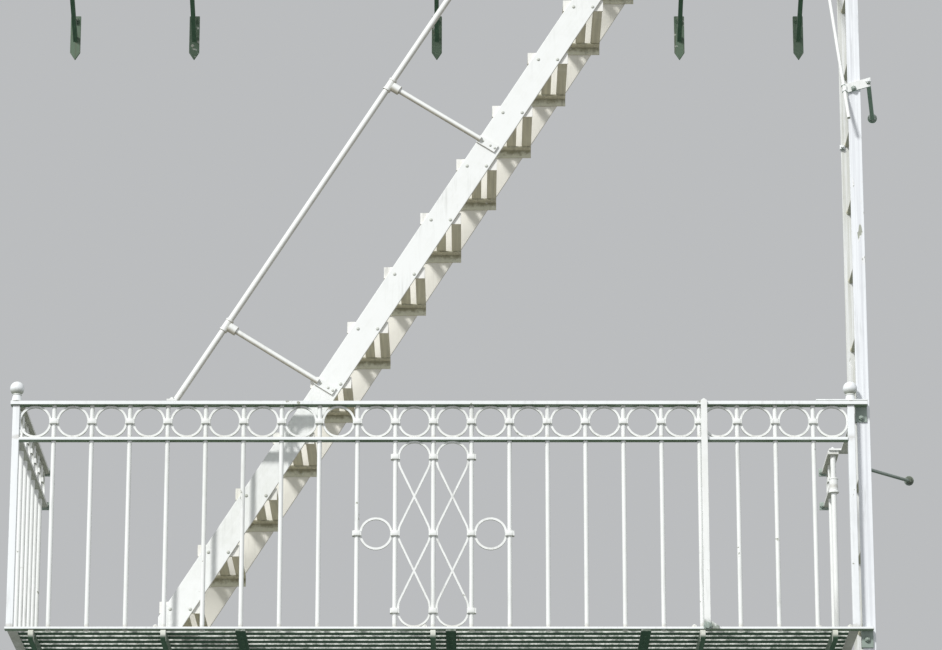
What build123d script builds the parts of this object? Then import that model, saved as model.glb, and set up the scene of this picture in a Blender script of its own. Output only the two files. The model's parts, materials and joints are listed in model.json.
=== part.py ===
from build123d import *

import math
import os

# Fire escape stair on a brick wall: two railed balconies, one flight between them and a stored drop ladder.
# Millimetres, +X along the wall, +Y into it, +Z up.
# The origin lies on the wall, at the middle of the wall plate of the lower balcony's centre bracket.

# Balconies
STOREY = 3333.0  # lower deck to upper deck
BAY = 150.0  # one baluster to the next
HALF_BAYS = 11  # bays from the centre baluster to a corner post
DEPTH = 1050.0  # wall to the middle of the front railing
RAIL_HEIGHT = 913.0  # deck to the top of the top rail
TOP_RAIL_WIDTH = 45.0
TOP_RAIL_THICK = 15.0
FLAT_WIDTH = 38.0  # second rail and bottom rail
SECOND_THICK = 13.0  # rail under the rings
FLAT_THICK = 10.0  # bottom rail
BALUSTER_R = 9.0
HOLE_GAP = 0.15  # round a bar that passes through a punched hole
POST_SIDE = 28.0
END_RAILING_INSET = 8.0  # corner post's middle to the end railing's
FINIAL_R = 28.5
FINIAL_NECK_R = 9.0
FINIAL_BASE_R = 22.0
FINIAL_BASE_TOP_R = 16.0
FINIAL_BASE = 32.0
FINIAL_SUNK = 5.0  # ball into its base
JOINT_BAYS = 7  # bays from the centre baluster to where the two front panels meet
JOINT_OFFSET = 18.5
JOINT_GAP = 0.5
JOINT_BAR_WIDTH = 25.0
JOINT_BAR_THICK = 10.0
JOINT_BAR_PROUD = 9.0
JOINT_GUSSET = 34.0

# Rings and centre ornament
RING_BAR = 9.0
RING_PLAY = 0.5  # ring to baluster and to the rails
COLLAR_WIDTH = 36.0
COLLAR_HEIGHT = 20.0
COLLAR_DEPTH = 26.0
ORNAMENT_BAR = 8.0
ORNAMENT_BEND_R = 80.0
ORNAMENT_STRAIGHT = 30.0  # upright stretch of a bar beside each collar

# Deck and brackets
SLAT_COUNT = 14
SLAT_WIDTH = 38.0
SLAT_THICK = 10.0
SLAT_END_GAP = 0.5
BATTEN_WIDTH = 40.0
BATTEN_THICK = 8.0
LOWER_BATTENS_X = (-750.0, 70.0, 830.0)
UPPER_BATTEN_X = -750.0
BRACKET_BAYS = 7  # bays from the centre bracket to the next one
END_BRACKET_INSET = 85.0  # end bracket to the corner post
ARM_THICK = 20.0
ARM_HEIGHT = 44.0
ARM_NOSE = 28.0  # arm's end in front of the railing's middle
WALL_PLATE_WIDTH = 70.0
WALL_PLATE_HEIGHT = 130.0
WALL_PLATE_THICK = 10.0
WALL_BOLT_R = 7.0
WALL_BOLT_SPACING = 96.0
BRACE_SIDE = 19.0
BRACE_REACH = 700.0  # wall to the brace's upper end
BRACE_DROP = 461.0  # arm's middle to where the brace meets the wall
BRACE_PAD = 90.0
BRACE_PAD_THICK = 8.0
FOOT_WIDTH = 44.0
FOOT_THICK = 8.0
FOOT_RISE = 112.0  # foot plate's top above the brace's lower end
FOOT_FALL = 90.0  # its pointed tail below
FOOT_TAIL = 34.0
FOOT_BOLT_RISE = 92.0

# Flight
TREADS = 14
FIRST_TREAD = 120.0  # lower deck to the first tread's top
GOING = 145.2
LANDING_INSET = 90.0  # landing's edge before the bracket under it
TREAD_DEPTH = 164.0
TREAD_NOSE = 43.5  # tread's front edge before its front rivet
TREAD_SLATS = 3
TREAD_SLAT_WIDTH = 39.0
TREAD_SLAT_THICK = 10.0
END_ANGLE_SHELF = 45.0
END_ANGLE_DROP = 38.0
END_ANGLE_THICK = 6.0
RIVET_DROP = 32.5  # tread's top to the rivets in its end angle
STRINGER_THICK = 10.0
STRINGER_WIDTH = 101.6
STRINGER_EDGE = 22.8  # rivet line to the stringer's upper edge
STRINGER_INSET = 60.0  # railing's middle to the outer stringer's face
STAIR_WIDTH = 508.0  # between the stringers
TOE_CUT = 56.0  # height of the stringer's upright end above the deck
HEEL_CLIP_LENGTH = 150.0
HEEL_CLIP_WIDTH = 40.0
HEEL_CLIP_THICK = 6.0
WELL_LENGTH = 860.0
WELL_CLEARANCE = 5.0
TRIMMER_THICK = 12.0
TRIMMER_HEIGHT = 60.0
HANDRAIL_R = 12.5
HANDRAIL_RISE = 449.0  # rivet line to the handrail, square to the slope
HANDRAIL_LUG_WIDTH = 40.0
HANDRAIL_LUG_THICK = 8.0
STANCHION_R = 11.0
STANCHION_STEPS = (4.0, 8.45, 13.0)  # treads above the first at which a stanchion stands
STANCHION_PALM = 86.0  # flattened foot on the stringer
STANCHION_PALM_DROP = 19.0  # rivet line to the palm's middle
STANCHION_PALM_WIDTH = 32.0
STANCHION_PALM_THICK = 8.0
STANCHION_COLLAR_R = 19.0
STANCHION_COLLAR = 34.0

# Drop ladder and its guides
LADDER_CLEARANCE = 12.0  # end railing to the ladder's near edge
LADDER_RAIL_WIDTH = 52.0
LADDER_RAIL_THICK = 10.0
LADDER_WIDTH = 375.0  # outside of one rail to outside of the other
LADDER_LENGTH = 4800.0
LADDER_HANG = 400.0  # ladder's foot below the lower deck
RUNG_R = 8.0
RUNG_PITCH = 295.0
RUNG_FIRST = 171.0
RUN_GAP = 0.6  # ladder rail in its guides
CLIP_THICK = 5.0
CLIP_HEIGHT = 75.0
CLIP_LIP = 11.0
RAIL_END_INSET = 12.0  # rails' right ends to the ladder's outer edge
ACCESS_BAYS = 5  # bays from the front railing to the pipe post
PIPE_R = 11.0
PIPE_COLLAR_R = 18.0
PIPE_COLLAR = 60.0
PIPE_COLLAR_RISE = 739.0
STRAP_WIDTH = 60.0
STRAP_THICK = 8.0
TOP_GUIDE_RISE = 2257.0  # lower deck to the middle of the top guide
TOP_GUIDE_HEIGHT = 38.0
TOP_GUIDE_TILT = 29.0  # its right end above its left one
TOP_GUIDE_TAIL = 40.0  # right end beyond the ladder
TOP_GUIDE_THICK = 8.0
STRUT_R = 9.0
STRUT_WALL_X = 1876.0
STRUT_WALL_RISE = 2482.0
ROD_R = 7.0
ROD_BACK = 460.0  # railing's middle to the rod's upper end
ROD_TAIL = 160.0  # free end below the top guide
ROD_PLAY = 2.0  # rod's side to the top guide's end
STAY_WALL_X = 1985.0
STAY_WALL_RISE = 869.0
STAY_DROP = 150.0  # rail's top to the stay's start
STAY_SETBACK = 30.0  # ladder to the stay's drop bar
ANCHOR_R = 20.0
ANCHOR_THICK = 8.0

# Places worked out from the sizes above
HALF_LENGTH = BAY * HALF_BAYS
DECK_TOP = ARM_HEIGHT / 2 + SLAT_THICK
UPPER_TOP = DECK_TOP + STOREY
RING_R = BAY / 2 - BALUSTER_R - RING_PLAY
RING_SPACE = 2 * (RING_R + RING_PLAY)
RING_DROP = TOP_RAIL_THICK + RING_SPACE / 2
SECOND_DROP = TOP_RAIL_THICK + RING_SPACE
JOINT_X = JOINT_BAYS * BAY + JOINT_OFFSET
LEDGE = DEPTH - FLAT_WIDTH / 2
END_X = HALF_LENGTH - END_RAILING_INSET
SLAT_REACH = END_X - FLAT_WIDTH / 2 - SLAT_END_GAP
BRACKETS_X = [
    -(HALF_LENGTH - END_BRACKET_INSET),
    -BRACKET_BAYS * BAY,
    0.0,
    BRACKET_BAYS * BAY,
    HALF_LENGTH - END_BRACKET_INSET,
]
RISE = (STOREY - FIRST_TREAD) / TREADS
LANDING_X = BRACKET_BAYS * BAY - LANDING_INSET
FIRST_RIVET_X = LANDING_X + TREAD_NOSE - TREADS * GOING
FIRST_RIVET_Z = DECK_TOP + FIRST_TREAD - RIVET_DROP
SLOPE = math.atan2(RISE, GOING)
OUTER_Y = -DEPTH + STRINGER_INSET
INNER_Y = OUTER_Y + 2 * STRINGER_THICK + STAIR_WIDTH
WELL_X = LANDING_X - WELL_LENGTH
LADDER_X0 = END_X + TOP_RAIL_WIDTH / 2 + LADDER_CLEARANCE
LADDER_X1 = LADDER_X0 + LADDER_RAIL_WIDTH
LADDER_Y0 = -DEPTH + TOP_RAIL_WIDTH / 2 + CLIP_THICK + RUN_GAP
LADDER_Y1 = LADDER_Y0 + LADDER_WIDTH
LADDER_Z = DECK_TOP - LADDER_HANG
RUNGS = int((LADDER_LENGTH - 2 * RUNG_FIRST) / RUNG_PITCH) + 1
GUIDE_END = LADDER_X1 - RAIL_END_INSET
ACCESS_Y = -DEPTH + ACCESS_BAYS * BAY


def block(x0, x1, y0, y1, z0, z1):
    """Box between two corners."""
    return Pos((x0 + x1) / 2, (y0 + y1) / 2, (z0 + z1) / 2) * Box(x1 - x0, y1 - y0, z1 - z0)


def rod(start, end, radius):
    """Round bar from one point to another."""
    way = Vector(*end) - Vector(*start)
    foot = Align.CENTER, Align.CENTER, Align.MIN
    return Plane(origin=start, z_dir=way) * Cylinder(radius, way.length, align=foot)


def plate_xz(points, y0, y1):
    """Flat plate with its outline in the XZ plane, from y0 to y1."""
    outline = make_face(Polyline(*[(x, 0, z) for x, z in points], close=True))
    solid = extrude(outline, amount=y1 - y0, dir=(0, 1, 0))
    return Pos(0, y0, 0) * solid


def save(node, pieces):
    """Write one node's solids to its own file."""
    solids = [solid for piece in pieces for solid in piece.solids()]
    export_step(Compound(solids), f"parts/{node}.step")


def baluster_lines():
    """X of every front baluster, corner posts left out."""
    return [BAY * k for k in range(-HALF_BAYS + 1, HALF_BAYS)]


def slat_lines():
    """Y of every slat's middle, evenly between the wall and the bottom rail."""
    gap = (LEDGE - SLAT_COUNT * SLAT_WIDTH) / (SLAT_COUNT + 1)
    pitch = SLAT_WIDTH + gap
    return [-(gap + SLAT_WIDTH / 2 + k * pitch) for k in range(SLAT_COUNT)]


def deck_slats(top, has_well):
    """Flat bars along the wall, cut short on both sides of the stairwell."""
    slats = []
    well_back = INNER_Y + WELL_CLEARANCE
    for y in slat_lines():
        spans = [(-SLAT_REACH, SLAT_REACH)]
        if has_well and y - SLAT_WIDTH / 2 < well_back:
            spans = [(-SLAT_REACH, WELL_X), (LANDING_X, SLAT_REACH)]
        for x0, x1 in spans:
            slat = block(x0, x1, y - SLAT_WIDTH / 2, y + SLAT_WIDTH / 2, top - SLAT_THICK, top)
            slats.append(slat)
    return slats


def deck_battens(top, has_well):
    """Flat bars under the slats, with an upright one at the landing's edge."""
    under = top - SLAT_THICK
    front = -DEPTH - FLAT_WIDTH / 2
    back = slat_lines()[0] + SLAT_WIDTH / 2
    lines = (UPPER_BATTEN_X, WELL_X - BATTEN_WIDTH / 2) if has_well else LOWER_BATTENS_X
    half = BATTEN_WIDTH / 2
    bars = [block(x - half, x + half, front, back, under - BATTEN_THICK, under) for x in lines]
    if has_well:
        trimmer_end = LANDING_X + TRIMMER_THICK
        bars.append(block(LANDING_X, trimmer_end, front, back, under - TRIMMER_HEIGHT, under))
    return bars


def bracket_arm(x, middle):
    """Edgewise bar with a rounded nose and a bolted wall plate."""
    half = ARM_THICK / 2
    nose_r = ARM_HEIGHT / 2
    nose_y = -DEPTH - ARM_NOSE + nose_r
    bar = block(x - half, x + half, nose_y, 0, middle - nose_r, middle + nose_r)
    nose = Pos(x, nose_y, middle) * Rot(0, 90, 0) * Cylinder(nose_r, ARM_THICK)
    side = WALL_PLATE_WIDTH / 2
    tall = WALL_PLATE_HEIGHT / 2
    plate = block(x - side, x + side, -WALL_PLATE_THICK, 0, middle - tall, middle + tall)
    arm = bar + nose + plate
    for z in (middle - WALL_BOLT_SPACING / 2, middle + WALL_BOLT_SPACING / 2):
        arm -= rod((x, -2 * WALL_PLATE_THICK, z), (x, WALL_PLATE_THICK, z), WALL_BOLT_R)
    return arm


def bracket_brace(x, middle):
    """Slanting square bar with a pad under the arm and a pointed foot on the wall."""
    under = middle - ARM_HEIGHT / 2
    low = middle - BRACE_DROP
    half = BRACE_SIDE / 2
    way = Vector(0, BRACE_REACH, low - under)
    over = way.normalized() * BRACE_SIDE
    start = Vector(x, -BRACE_REACH, under) - over
    bar_frame = Plane(origin=start, x_dir=(1, 0, 0), z_dir=way)
    foot = Align.CENTER, Align.CENTER, Align.MIN
    bar = bar_frame * Box(BRACE_SIDE, BRACE_SIDE, way.length + 2 * BRACE_SIDE, align=foot)
    bar &= block(x - half, x + half, -DEPTH, 0, low - BRACE_DROP, under)
    pad_y = (-BRACE_REACH - BRACE_PAD / 2, -BRACE_REACH + BRACE_PAD / 2)
    pad = block(x - half, x + half, *pad_y, under - BRACE_PAD_THICK, under)
    side = FOOT_WIDTH / 2
    tail = low - FOOT_FALL
    outline = [
        (x - side, low + FOOT_RISE),
        (x + side, low + FOOT_RISE),
        (x + side, tail + FOOT_TAIL),
        (x, tail),
        (x - side, tail + FOOT_TAIL),
    ]
    plate = plate_xz(outline, -FOOT_THICK, 0)
    bolt_z = low + FOOT_BOLT_RISE
    hole = rod((x, -2 * FOOT_THICK, bolt_z), (x, FOOT_THICK, bolt_z), WALL_BOLT_R)
    return bar + pad + plate - hole


def flat_rail(x0, x1, width, thick, top):
    """Flat bar laid along the front railing."""
    return block(x0, x1, -DEPTH - width / 2, -DEPTH + width / 2, top - thick, top)


def panel_spans(start, end):
    """The two panels' shares of a front rail."""
    return [(start, JOINT_X - JOINT_GAP / 2), (JOINT_X + JOINT_GAP / 2, end)]


def punch(rail, lines, radius, top):
    """Holes through a rail for the bars that pass it."""
    low = top - 2 * TOP_RAIL_THICK
    high = top + TOP_RAIL_THICK
    for x in lines:
        rail -= rod((x, -DEPTH, low), (x, -DEPTH, high), radius + HOLE_GAP)
    return rail


def top_rail(top, end):
    """Handrail of the front panels, with holes for the finials' necks."""
    height = top + RAIL_HEIGHT
    bars = []
    for x0, x1 in panel_spans(-HALF_LENGTH - TOP_RAIL_WIDTH / 2, end):
        rail = flat_rail(x0, x1, TOP_RAIL_WIDTH, TOP_RAIL_THICK, height)
        necks = [x for x in (-HALF_LENGTH, HALF_LENGTH) if x0 < x < x1]
        bars.append(punch(rail, necks, FINIAL_NECK_R, height))
    return bars


def second_rail(top):
    """Rail under the rings, punched for the balusters."""
    height = top + RAIL_HEIGHT - SECOND_DROP
    reach = HALF_LENGTH - POST_SIDE / 2
    bars = []
    for x0, x1 in panel_spans(-reach, reach):
        rail = flat_rail(x0, x1, FLAT_WIDTH, SECOND_THICK, height)
        lines = [x for x in baluster_lines() if x0 < x < x1]
        bars.append(punch(rail, lines, BALUSTER_R, height))
    return bars


def bottom_rail(top, end):
    """Flat bar on the bracket arms, along the deck's front edge."""
    start = -HALF_LENGTH - FLAT_WIDTH / 2
    return [flat_rail(x0, x1, FLAT_WIDTH, FLAT_THICK, top) for x0, x1 in panel_spans(start, end)]


def balusters(top):
    """Round bars from the bottom rail to the top rail."""
    under = top + RAIL_HEIGHT - TOP_RAIL_THICK
    return [rod((x, -DEPTH, top), (x, -DEPTH, under), BALUSTER_R) for x in baluster_lines()]


def ring(x, z):
    """One flat ring in the railing's plane."""
    turn = Pos(x, -DEPTH, z) * Rot(90, 0, 0)
    return turn * (Cylinder(RING_R, RING_BAR) - Cylinder(RING_R - RING_BAR, 2 * RING_BAR))


def collar(x, z, depth=COLLAR_DEPTH):
    """Clasp round a baluster that holds the bars beside it."""
    return Pos(x, -DEPTH, z) * Box(COLLAR_WIDTH, depth, COLLAR_HEIGHT)


def bored(piece, lines, z0, z1):
    """Passage for the balusters through what clasps them."""
    for x in lines:
        piece -= rod((x, -DEPTH, z0), (x, -DEPTH, z1), BALUSTER_R + HOLE_GAP)
    return piece


def ring_band(top):
    """Rings in every bay under the top rail, joined by collars on the balusters."""
    z = top + RAIL_HEIGHT - RING_DROP
    centres = [BAY * (k + 0.5) for k in range(-HALF_BAYS, HALF_BAYS)]
    rings = [ring(x, z) for x in centres]
    band = rings[0].fuse(*rings[1:], *[collar(x, z) for x in baluster_lines()])
    reach = HALF_LENGTH - POST_SIDE / 2
    band &= block(-reach, reach, -DEPTH - COLLAR_WIDTH, -DEPTH + COLLAR_WIDTH, z - RING_R, z + RING_R)
    return [bored(band, baluster_lines(), z - COLLAR_HEIGHT, z + COLLAR_HEIGHT)]


def ornament_bar(x, side, low, high):
    """Bent bar that crosses its mirrored twin twice between two balusters."""
    reach = (BAY / 2 - BALUSTER_R - HOLE_GAP - ORNAMENT_BAR / 2) * side
    middle = (low + high) / 2
    turn = abs(reach)
    points = [
        (x - side, high),
        (x + reach, high),
        (x + reach, high - turn - ORNAMENT_STRAIGHT),
        (x - reach, middle + COLLAR_HEIGHT),
        (x - reach, middle - COLLAR_HEIGHT),
        (x + reach, low + turn + ORNAMENT_STRAIGHT),
        (x + reach, low),
        (x - side, low),
    ]
    radii = [turn] + [ORNAMENT_BEND_R] * 4 + [turn]
    path = FilletPolyline(*[(px, -DEPTH, pz) for px, pz in points], radius=radii)
    section = Plane(origin=path @ 0, z_dir=path % 0) * Rectangle(ORNAMENT_BAR, ORNAMENT_BAR)
    return sweep(section, path=path)


def centre_ornament(top):
    """Crossing bent bars in the two middle bays, with a free ring on either side."""
    low = top + ORNAMENT_BAR / 2
    high = top + RAIL_HEIGHT - SECOND_DROP - SECOND_THICK - ORNAMENT_BAR / 2
    middle = (low + high) / 2
    turn = BAY / 2 - BALUSTER_R - HOLE_GAP - ORNAMENT_BAR / 2
    levels = (low + turn, middle, high - turn)
    pieces = []
    for x in (-BAY / 2, BAY / 2):
        pieces += [ornament_bar(x, side, low, high) for side in (-1, 1)]
    for x in (-BAY, 0.0, BAY):
        pieces += [collar(x, z) for z in levels]
    for side in (-1, 1):
        pieces.append(ring(side * 1.5 * BAY, middle))
        pieces.append(collar(side * 2 * BAY, middle))
    whole = pieces[0].fuse(*pieces[1:])
    lines = [BAY * k for k in range(-2, 3)]
    return [bored(whole, lines, low, high)]


def corner_post(x, top):
    """Square post whose neck passes through the top rail and carries a ball on a cone."""
    height = top + RAIL_HEIGHT
    half = POST_SIDE / 2
    shaft = block(x - half, x + half, -DEPTH - half, -DEPTH + half, top, height - TOP_RAIL_THICK)
    ball_z = height + FINIAL_BASE - FINIAL_SUNK + FINIAL_R
    neck = rod((x, -DEPTH, height - 2 * TOP_RAIL_THICK), (x, -DEPTH, ball_z), FINIAL_NECK_R)
    foot = Align.CENTER, Align.CENTER, Align.MIN
    base = Pos(x, -DEPTH, height) * Cone(FINIAL_BASE_R, FINIAL_BASE_TOP_R, FINIAL_BASE, align=foot)
    return shaft + neck + base + Pos(x, -DEPTH, ball_z) * Sphere(FINIAL_R)


def joint_bar(top):
    """Flat bar with a peaked head over the meeting of the two front panels, with a gusset at its foot."""
    half = JOINT_BAR_WIDTH / 2
    left = JOINT_X - half
    right = JOINT_X + half
    face = -DEPTH - TOP_RAIL_WIDTH / 2
    low = top - FLAT_THICK
    shoulder = top + RAIL_HEIGHT
    peak = shoulder + JOINT_BAR_PROUD
    bar_outline = [(left, low), (right, low), (right, shoulder), (JOINT_X, peak), (left, shoulder)]
    bar = plate_xz(bar_outline, face - JOINT_BAR_THICK, face)
    flat_face = -DEPTH - FLAT_WIDTH / 2
    second = shoulder - SECOND_DROP
    bar += block(left, right, face, flat_face, second - SECOND_THICK, second)
    end_x = JOINT_X + half + JOINT_GUSSET
    bar += block(left, end_x, face, flat_face, low, top)
    gusset = [(JOINT_X, low), (end_x, low), (end_x, top), (JOINT_X, top + JOINT_GUSSET)]
    return bar + plate_xz(gusset, face - JOINT_BAR_THICK / 2, face)


def end_railing(side, top, y_front, post_half, rail_starts):
    """Railing along an end of the balcony, from y_front back to the wall, on a bottom rail of full depth."""
    x = side * END_X
    height = top + RAIL_HEIGHT
    second = height - SECOND_DROP
    ring_z = height - RING_DROP
    half_top = TOP_RAIL_WIDTH / 2
    half_flat = FLAT_WIDTH / 2
    top_start, second_start = rail_starts
    rails = [
        block(x - half_top, x + half_top, top_start, 0, height - TOP_RAIL_THICK, height),
        block(x - half_flat, x + half_flat, second_start, 0, second - SECOND_THICK, second),
        block(x - half_flat, x + half_flat, -LEDGE, 0, top - FLAT_THICK, top),
    ]
    bay_lines = [-DEPTH + BAY * k for k in range(math.ceil(DEPTH / BAY))]
    bars = []
    for y in bay_lines:
        if y_front + BAY / 2 < y < -BALUSTER_R:
            ends = ((x, y, top - FLAT_THICK / 2), (x, y, height - TOP_RAIL_THICK / 2))
            bars.append(rod(*ends, BALUSTER_R))
            bars.append(Pos(x, y, ring_z) * Box(COLLAR_DEPTH, COLLAR_WIDTH, COLLAR_HEIGHT))
        centre = y + BAY / 2
        if y_front < centre - BAY / 4 and centre + RING_R < 0:
            flat_ring = Cylinder(RING_R, RING_BAR) - Cylinder(RING_R - RING_BAR, 2 * RING_BAR)
            bars.append(Pos(x, centre, ring_z) * Rot(0, 90, 0) * flat_ring)
    lattice = bars[0].fuse(*bars[1:])
    keep_y = (y_front + post_half, 0)
    lattice &= block(x - COLLAR_WIDTH, x + COLLAR_WIDTH, *keep_y, top - FLAT_THICK, height)
    return rails[0].fuse(*rails[1:], lattice)


def pipe_post(top):
    """Round post at the ladder gap, with a coupling near its top."""
    x = END_X
    under = top + RAIL_HEIGHT - TOP_RAIL_THICK
    shaft = rod((x, ACCESS_Y, top), (x, ACCESS_Y, under), PIPE_R)
    low = top + PIPE_COLLAR_RISE
    return shaft + rod((x, ACCESS_Y, low), (x, ACCESS_Y, low + PIPE_COLLAR), PIPE_COLLAR_R)


def line_z(x):
    """Height of the rivet line of the stringers at x."""
    return FIRST_RIVET_Z + (x - FIRST_RIVET_X) * RISE / GOING


def line_x(z):
    """Where the rivet line of the stringers reaches a height."""
    return FIRST_RIVET_X + (z - FIRST_RIVET_Z) * GOING / RISE


def stringer(y0, y1, clip_side):
    """Flat plate with level foot, upright toe and upright top end, and an angle clip at its foot."""
    above = STRINGER_EDGE / math.cos(SLOPE)
    below = (STRINGER_WIDTH - STRINGER_EDGE) / math.cos(SLOPE)
    toe_x = line_x(DECK_TOP + TOE_CUT - above)
    heel_x = line_x(DECK_TOP + below)
    outline = [
        (toe_x, DECK_TOP),
        (heel_x, DECK_TOP),
        (LANDING_X, line_z(LANDING_X) - below),
        (LANDING_X, line_z(LANDING_X) + above),
        (toe_x, DECK_TOP + TOE_CUT),
    ]
    plate = plate_xz(outline, y0, y1)
    clip_y = (y1, y1 + HEEL_CLIP_WIDTH) if clip_side > 0 else (y0 - HEEL_CLIP_WIDTH, y0)
    clip = block(toe_x, toe_x + HEEL_CLIP_LENGTH, *clip_y, DECK_TOP, DECK_TOP + HEEL_CLIP_THICK)
    return plate + clip


def tread(step):
    """Slats on two end angles, between the stringers."""
    top = DECK_TOP + FIRST_TREAD + step * RISE
    x0 = FIRST_RIVET_X + step * GOING - TREAD_NOSE
    y0 = OUTER_Y + STRINGER_THICK
    y1 = INNER_Y - STRINGER_THICK
    pitch = (TREAD_DEPTH - TREAD_SLAT_WIDTH) / (TREAD_SLATS - 1)
    slats = []
    for k in range(TREAD_SLATS):
        start = x0 + k * pitch
        slats.append(block(start, start + TREAD_SLAT_WIDTH, y0, y1, top - TREAD_SLAT_THICK, top))
    under = top - TREAD_SLAT_THICK
    x1 = x0 + TREAD_DEPTH
    legs = ((END_ANGLE_SHELF, under - END_ANGLE_THICK), (END_ANGLE_THICK, under - END_ANGLE_DROP))
    angles = []
    for face, way in ((y0, 1), (y1, -1)):
        for reach, low in legs:
            ends = sorted((face, face + way * reach))
            angles.append(block(x0, x1, *ends, low, under))
    return slats[0].fuse(*slats[1:], *angles)


def handrail():
    """Round bar parallel to the outer stringer, with a lug on each balcony's top rail."""
    y = OUTER_Y - STANCHION_R
    lift = HANDRAIL_RISE / math.cos(SLOPE)
    ends = []
    lugs = []
    for top in (DECK_TOP, UPPER_TOP):
        z = top + RAIL_HEIGHT + HANDRAIL_LUG_THICK / 2
        x = line_x(z - lift)
        ends.append((x, y, z))
        half = HANDRAIL_LUG_WIDTH / 2
        front = -DEPTH - TOP_RAIL_WIDTH / 2
        lug_top = top + RAIL_HEIGHT + HANDRAIL_LUG_THICK
        lugs.append(block(x - half, x + half, front, y + HANDRAIL_R, top + RAIL_HEIGHT, lug_top))
    return rod(*ends, HANDRAIL_R).fuse(*lugs)


def stanchion(step):
    """Round bar square to the slope, with a flattened foot and a collar under the handrail."""
    along = Vector(math.cos(SLOPE), 0, math.sin(SLOPE))
    across = Vector(-math.sin(SLOPE), 0, math.cos(SLOPE))
    root = Vector(FIRST_RIVET_X + step * GOING, OUTER_Y - STANCHION_R, FIRST_RIVET_Z + step * RISE)
    palm_middle = Vector(root.X, OUTER_Y - STANCHION_PALM_THICK / 2, root.Z) - across * STANCHION_PALM_DROP
    palm_frame = Plane(origin=palm_middle, x_dir=along, z_dir=across)
    palm = palm_frame * Box(STANCHION_PALM_WIDTH, STANCHION_PALM_THICK, STANCHION_PALM)
    foot = root + across * (STANCHION_PALM / 2 - STANCHION_PALM_DROP - STANCHION_R)
    head = root + across * (HANDRAIL_RISE - HANDRAIL_R)
    bar = rod(tuple(foot), tuple(head), STANCHION_R)
    low = head - across * STANCHION_COLLAR
    knob = rod(tuple(low), tuple(head), STANCHION_COLLAR_R)
    return palm.fuse(bar, knob)


def ladder_rail(y0):
    """Upright flat bar of the drop ladder."""
    return block(LADDER_X0, LADDER_X1, y0, y0 + LADDER_RAIL_THICK, LADDER_Z, LADDER_Z + LADDER_LENGTH)


def ladder_rungs():
    """Round rungs between the ladder's rails."""
    x = (LADDER_X0 + LADDER_X1) / 2
    heights = [LADDER_Z + RUNG_FIRST + RUNG_PITCH * k for k in range(RUNGS)]
    y0 = LADDER_Y0 + LADDER_RAIL_THICK
    y1 = LADDER_Y1 - LADDER_RAIL_THICK
    return [rod((x, y0, z), (x, y1, z), RUNG_R) for z in heights]


def near_clip(seat_y, z0, z1):
    """Channel round the inner edge of the ladder's near rail, fixed behind a rail of the balcony."""
    x_in = LADDER_X0 - RUN_GAP
    x_out = x_in - CLIP_THICK
    back = LADDER_Y0 + LADDER_RAIL_THICK + RUN_GAP
    front = block(x_out, GUIDE_END, seat_y, LADDER_Y0 - RUN_GAP, z0, z1)
    web = block(x_out, x_in, seat_y, back + CLIP_THICK, z0, z1)
    lip = block(x_out, LADDER_X0 + CLIP_LIP, back, back + CLIP_THICK, z0, z1)
    return front.fuse(web, lip)


def near_guides():
    """Clips behind the ends of the lower balcony's top and bottom rails."""
    rail_top = DECK_TOP + RAIL_HEIGHT
    upper = near_clip(-DEPTH + TOP_RAIL_WIDTH / 2, rail_top - CLIP_HEIGHT, rail_top)
    lower = near_clip(-DEPTH + FLAT_WIDTH / 2, DECK_TOP - CLIP_HEIGHT, DECK_TOP)
    return [upper, lower]


def far_guide():
    """Flat strap from the pipe post to the ladder's far rail, with a hook round its outer edge."""
    z0 = DECK_TOP + RAIL_HEIGHT
    z1 = z0 + STRAP_THICK
    x_in = LADDER_X1 + RUN_GAP
    x_out = x_in + CLIP_THICK
    back = LADDER_Y1 + RUN_GAP
    front = LADDER_Y1 - LADDER_RAIL_THICK - RUN_GAP
    strap = block(x_out - STRAP_WIDTH, x_out, back, ACCESS_Y + STRAP_WIDTH / 2, z0, z1)
    shelf_y = (ACCESS_Y - STRAP_WIDTH / 2, ACCESS_Y + STRAP_WIDTH / 2)
    shelf = block(END_X - PIPE_COLLAR_R, x_out, *shelf_y, z0, z1)
    web = block(x_in, x_out, front - CLIP_THICK, back + CLIP_THICK, z0, z1)
    lip = block(LADDER_X1 - CLIP_LIP, x_out, front - CLIP_THICK, front, z0, z1)
    return strap.fuse(shelf, web, lip)


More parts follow.
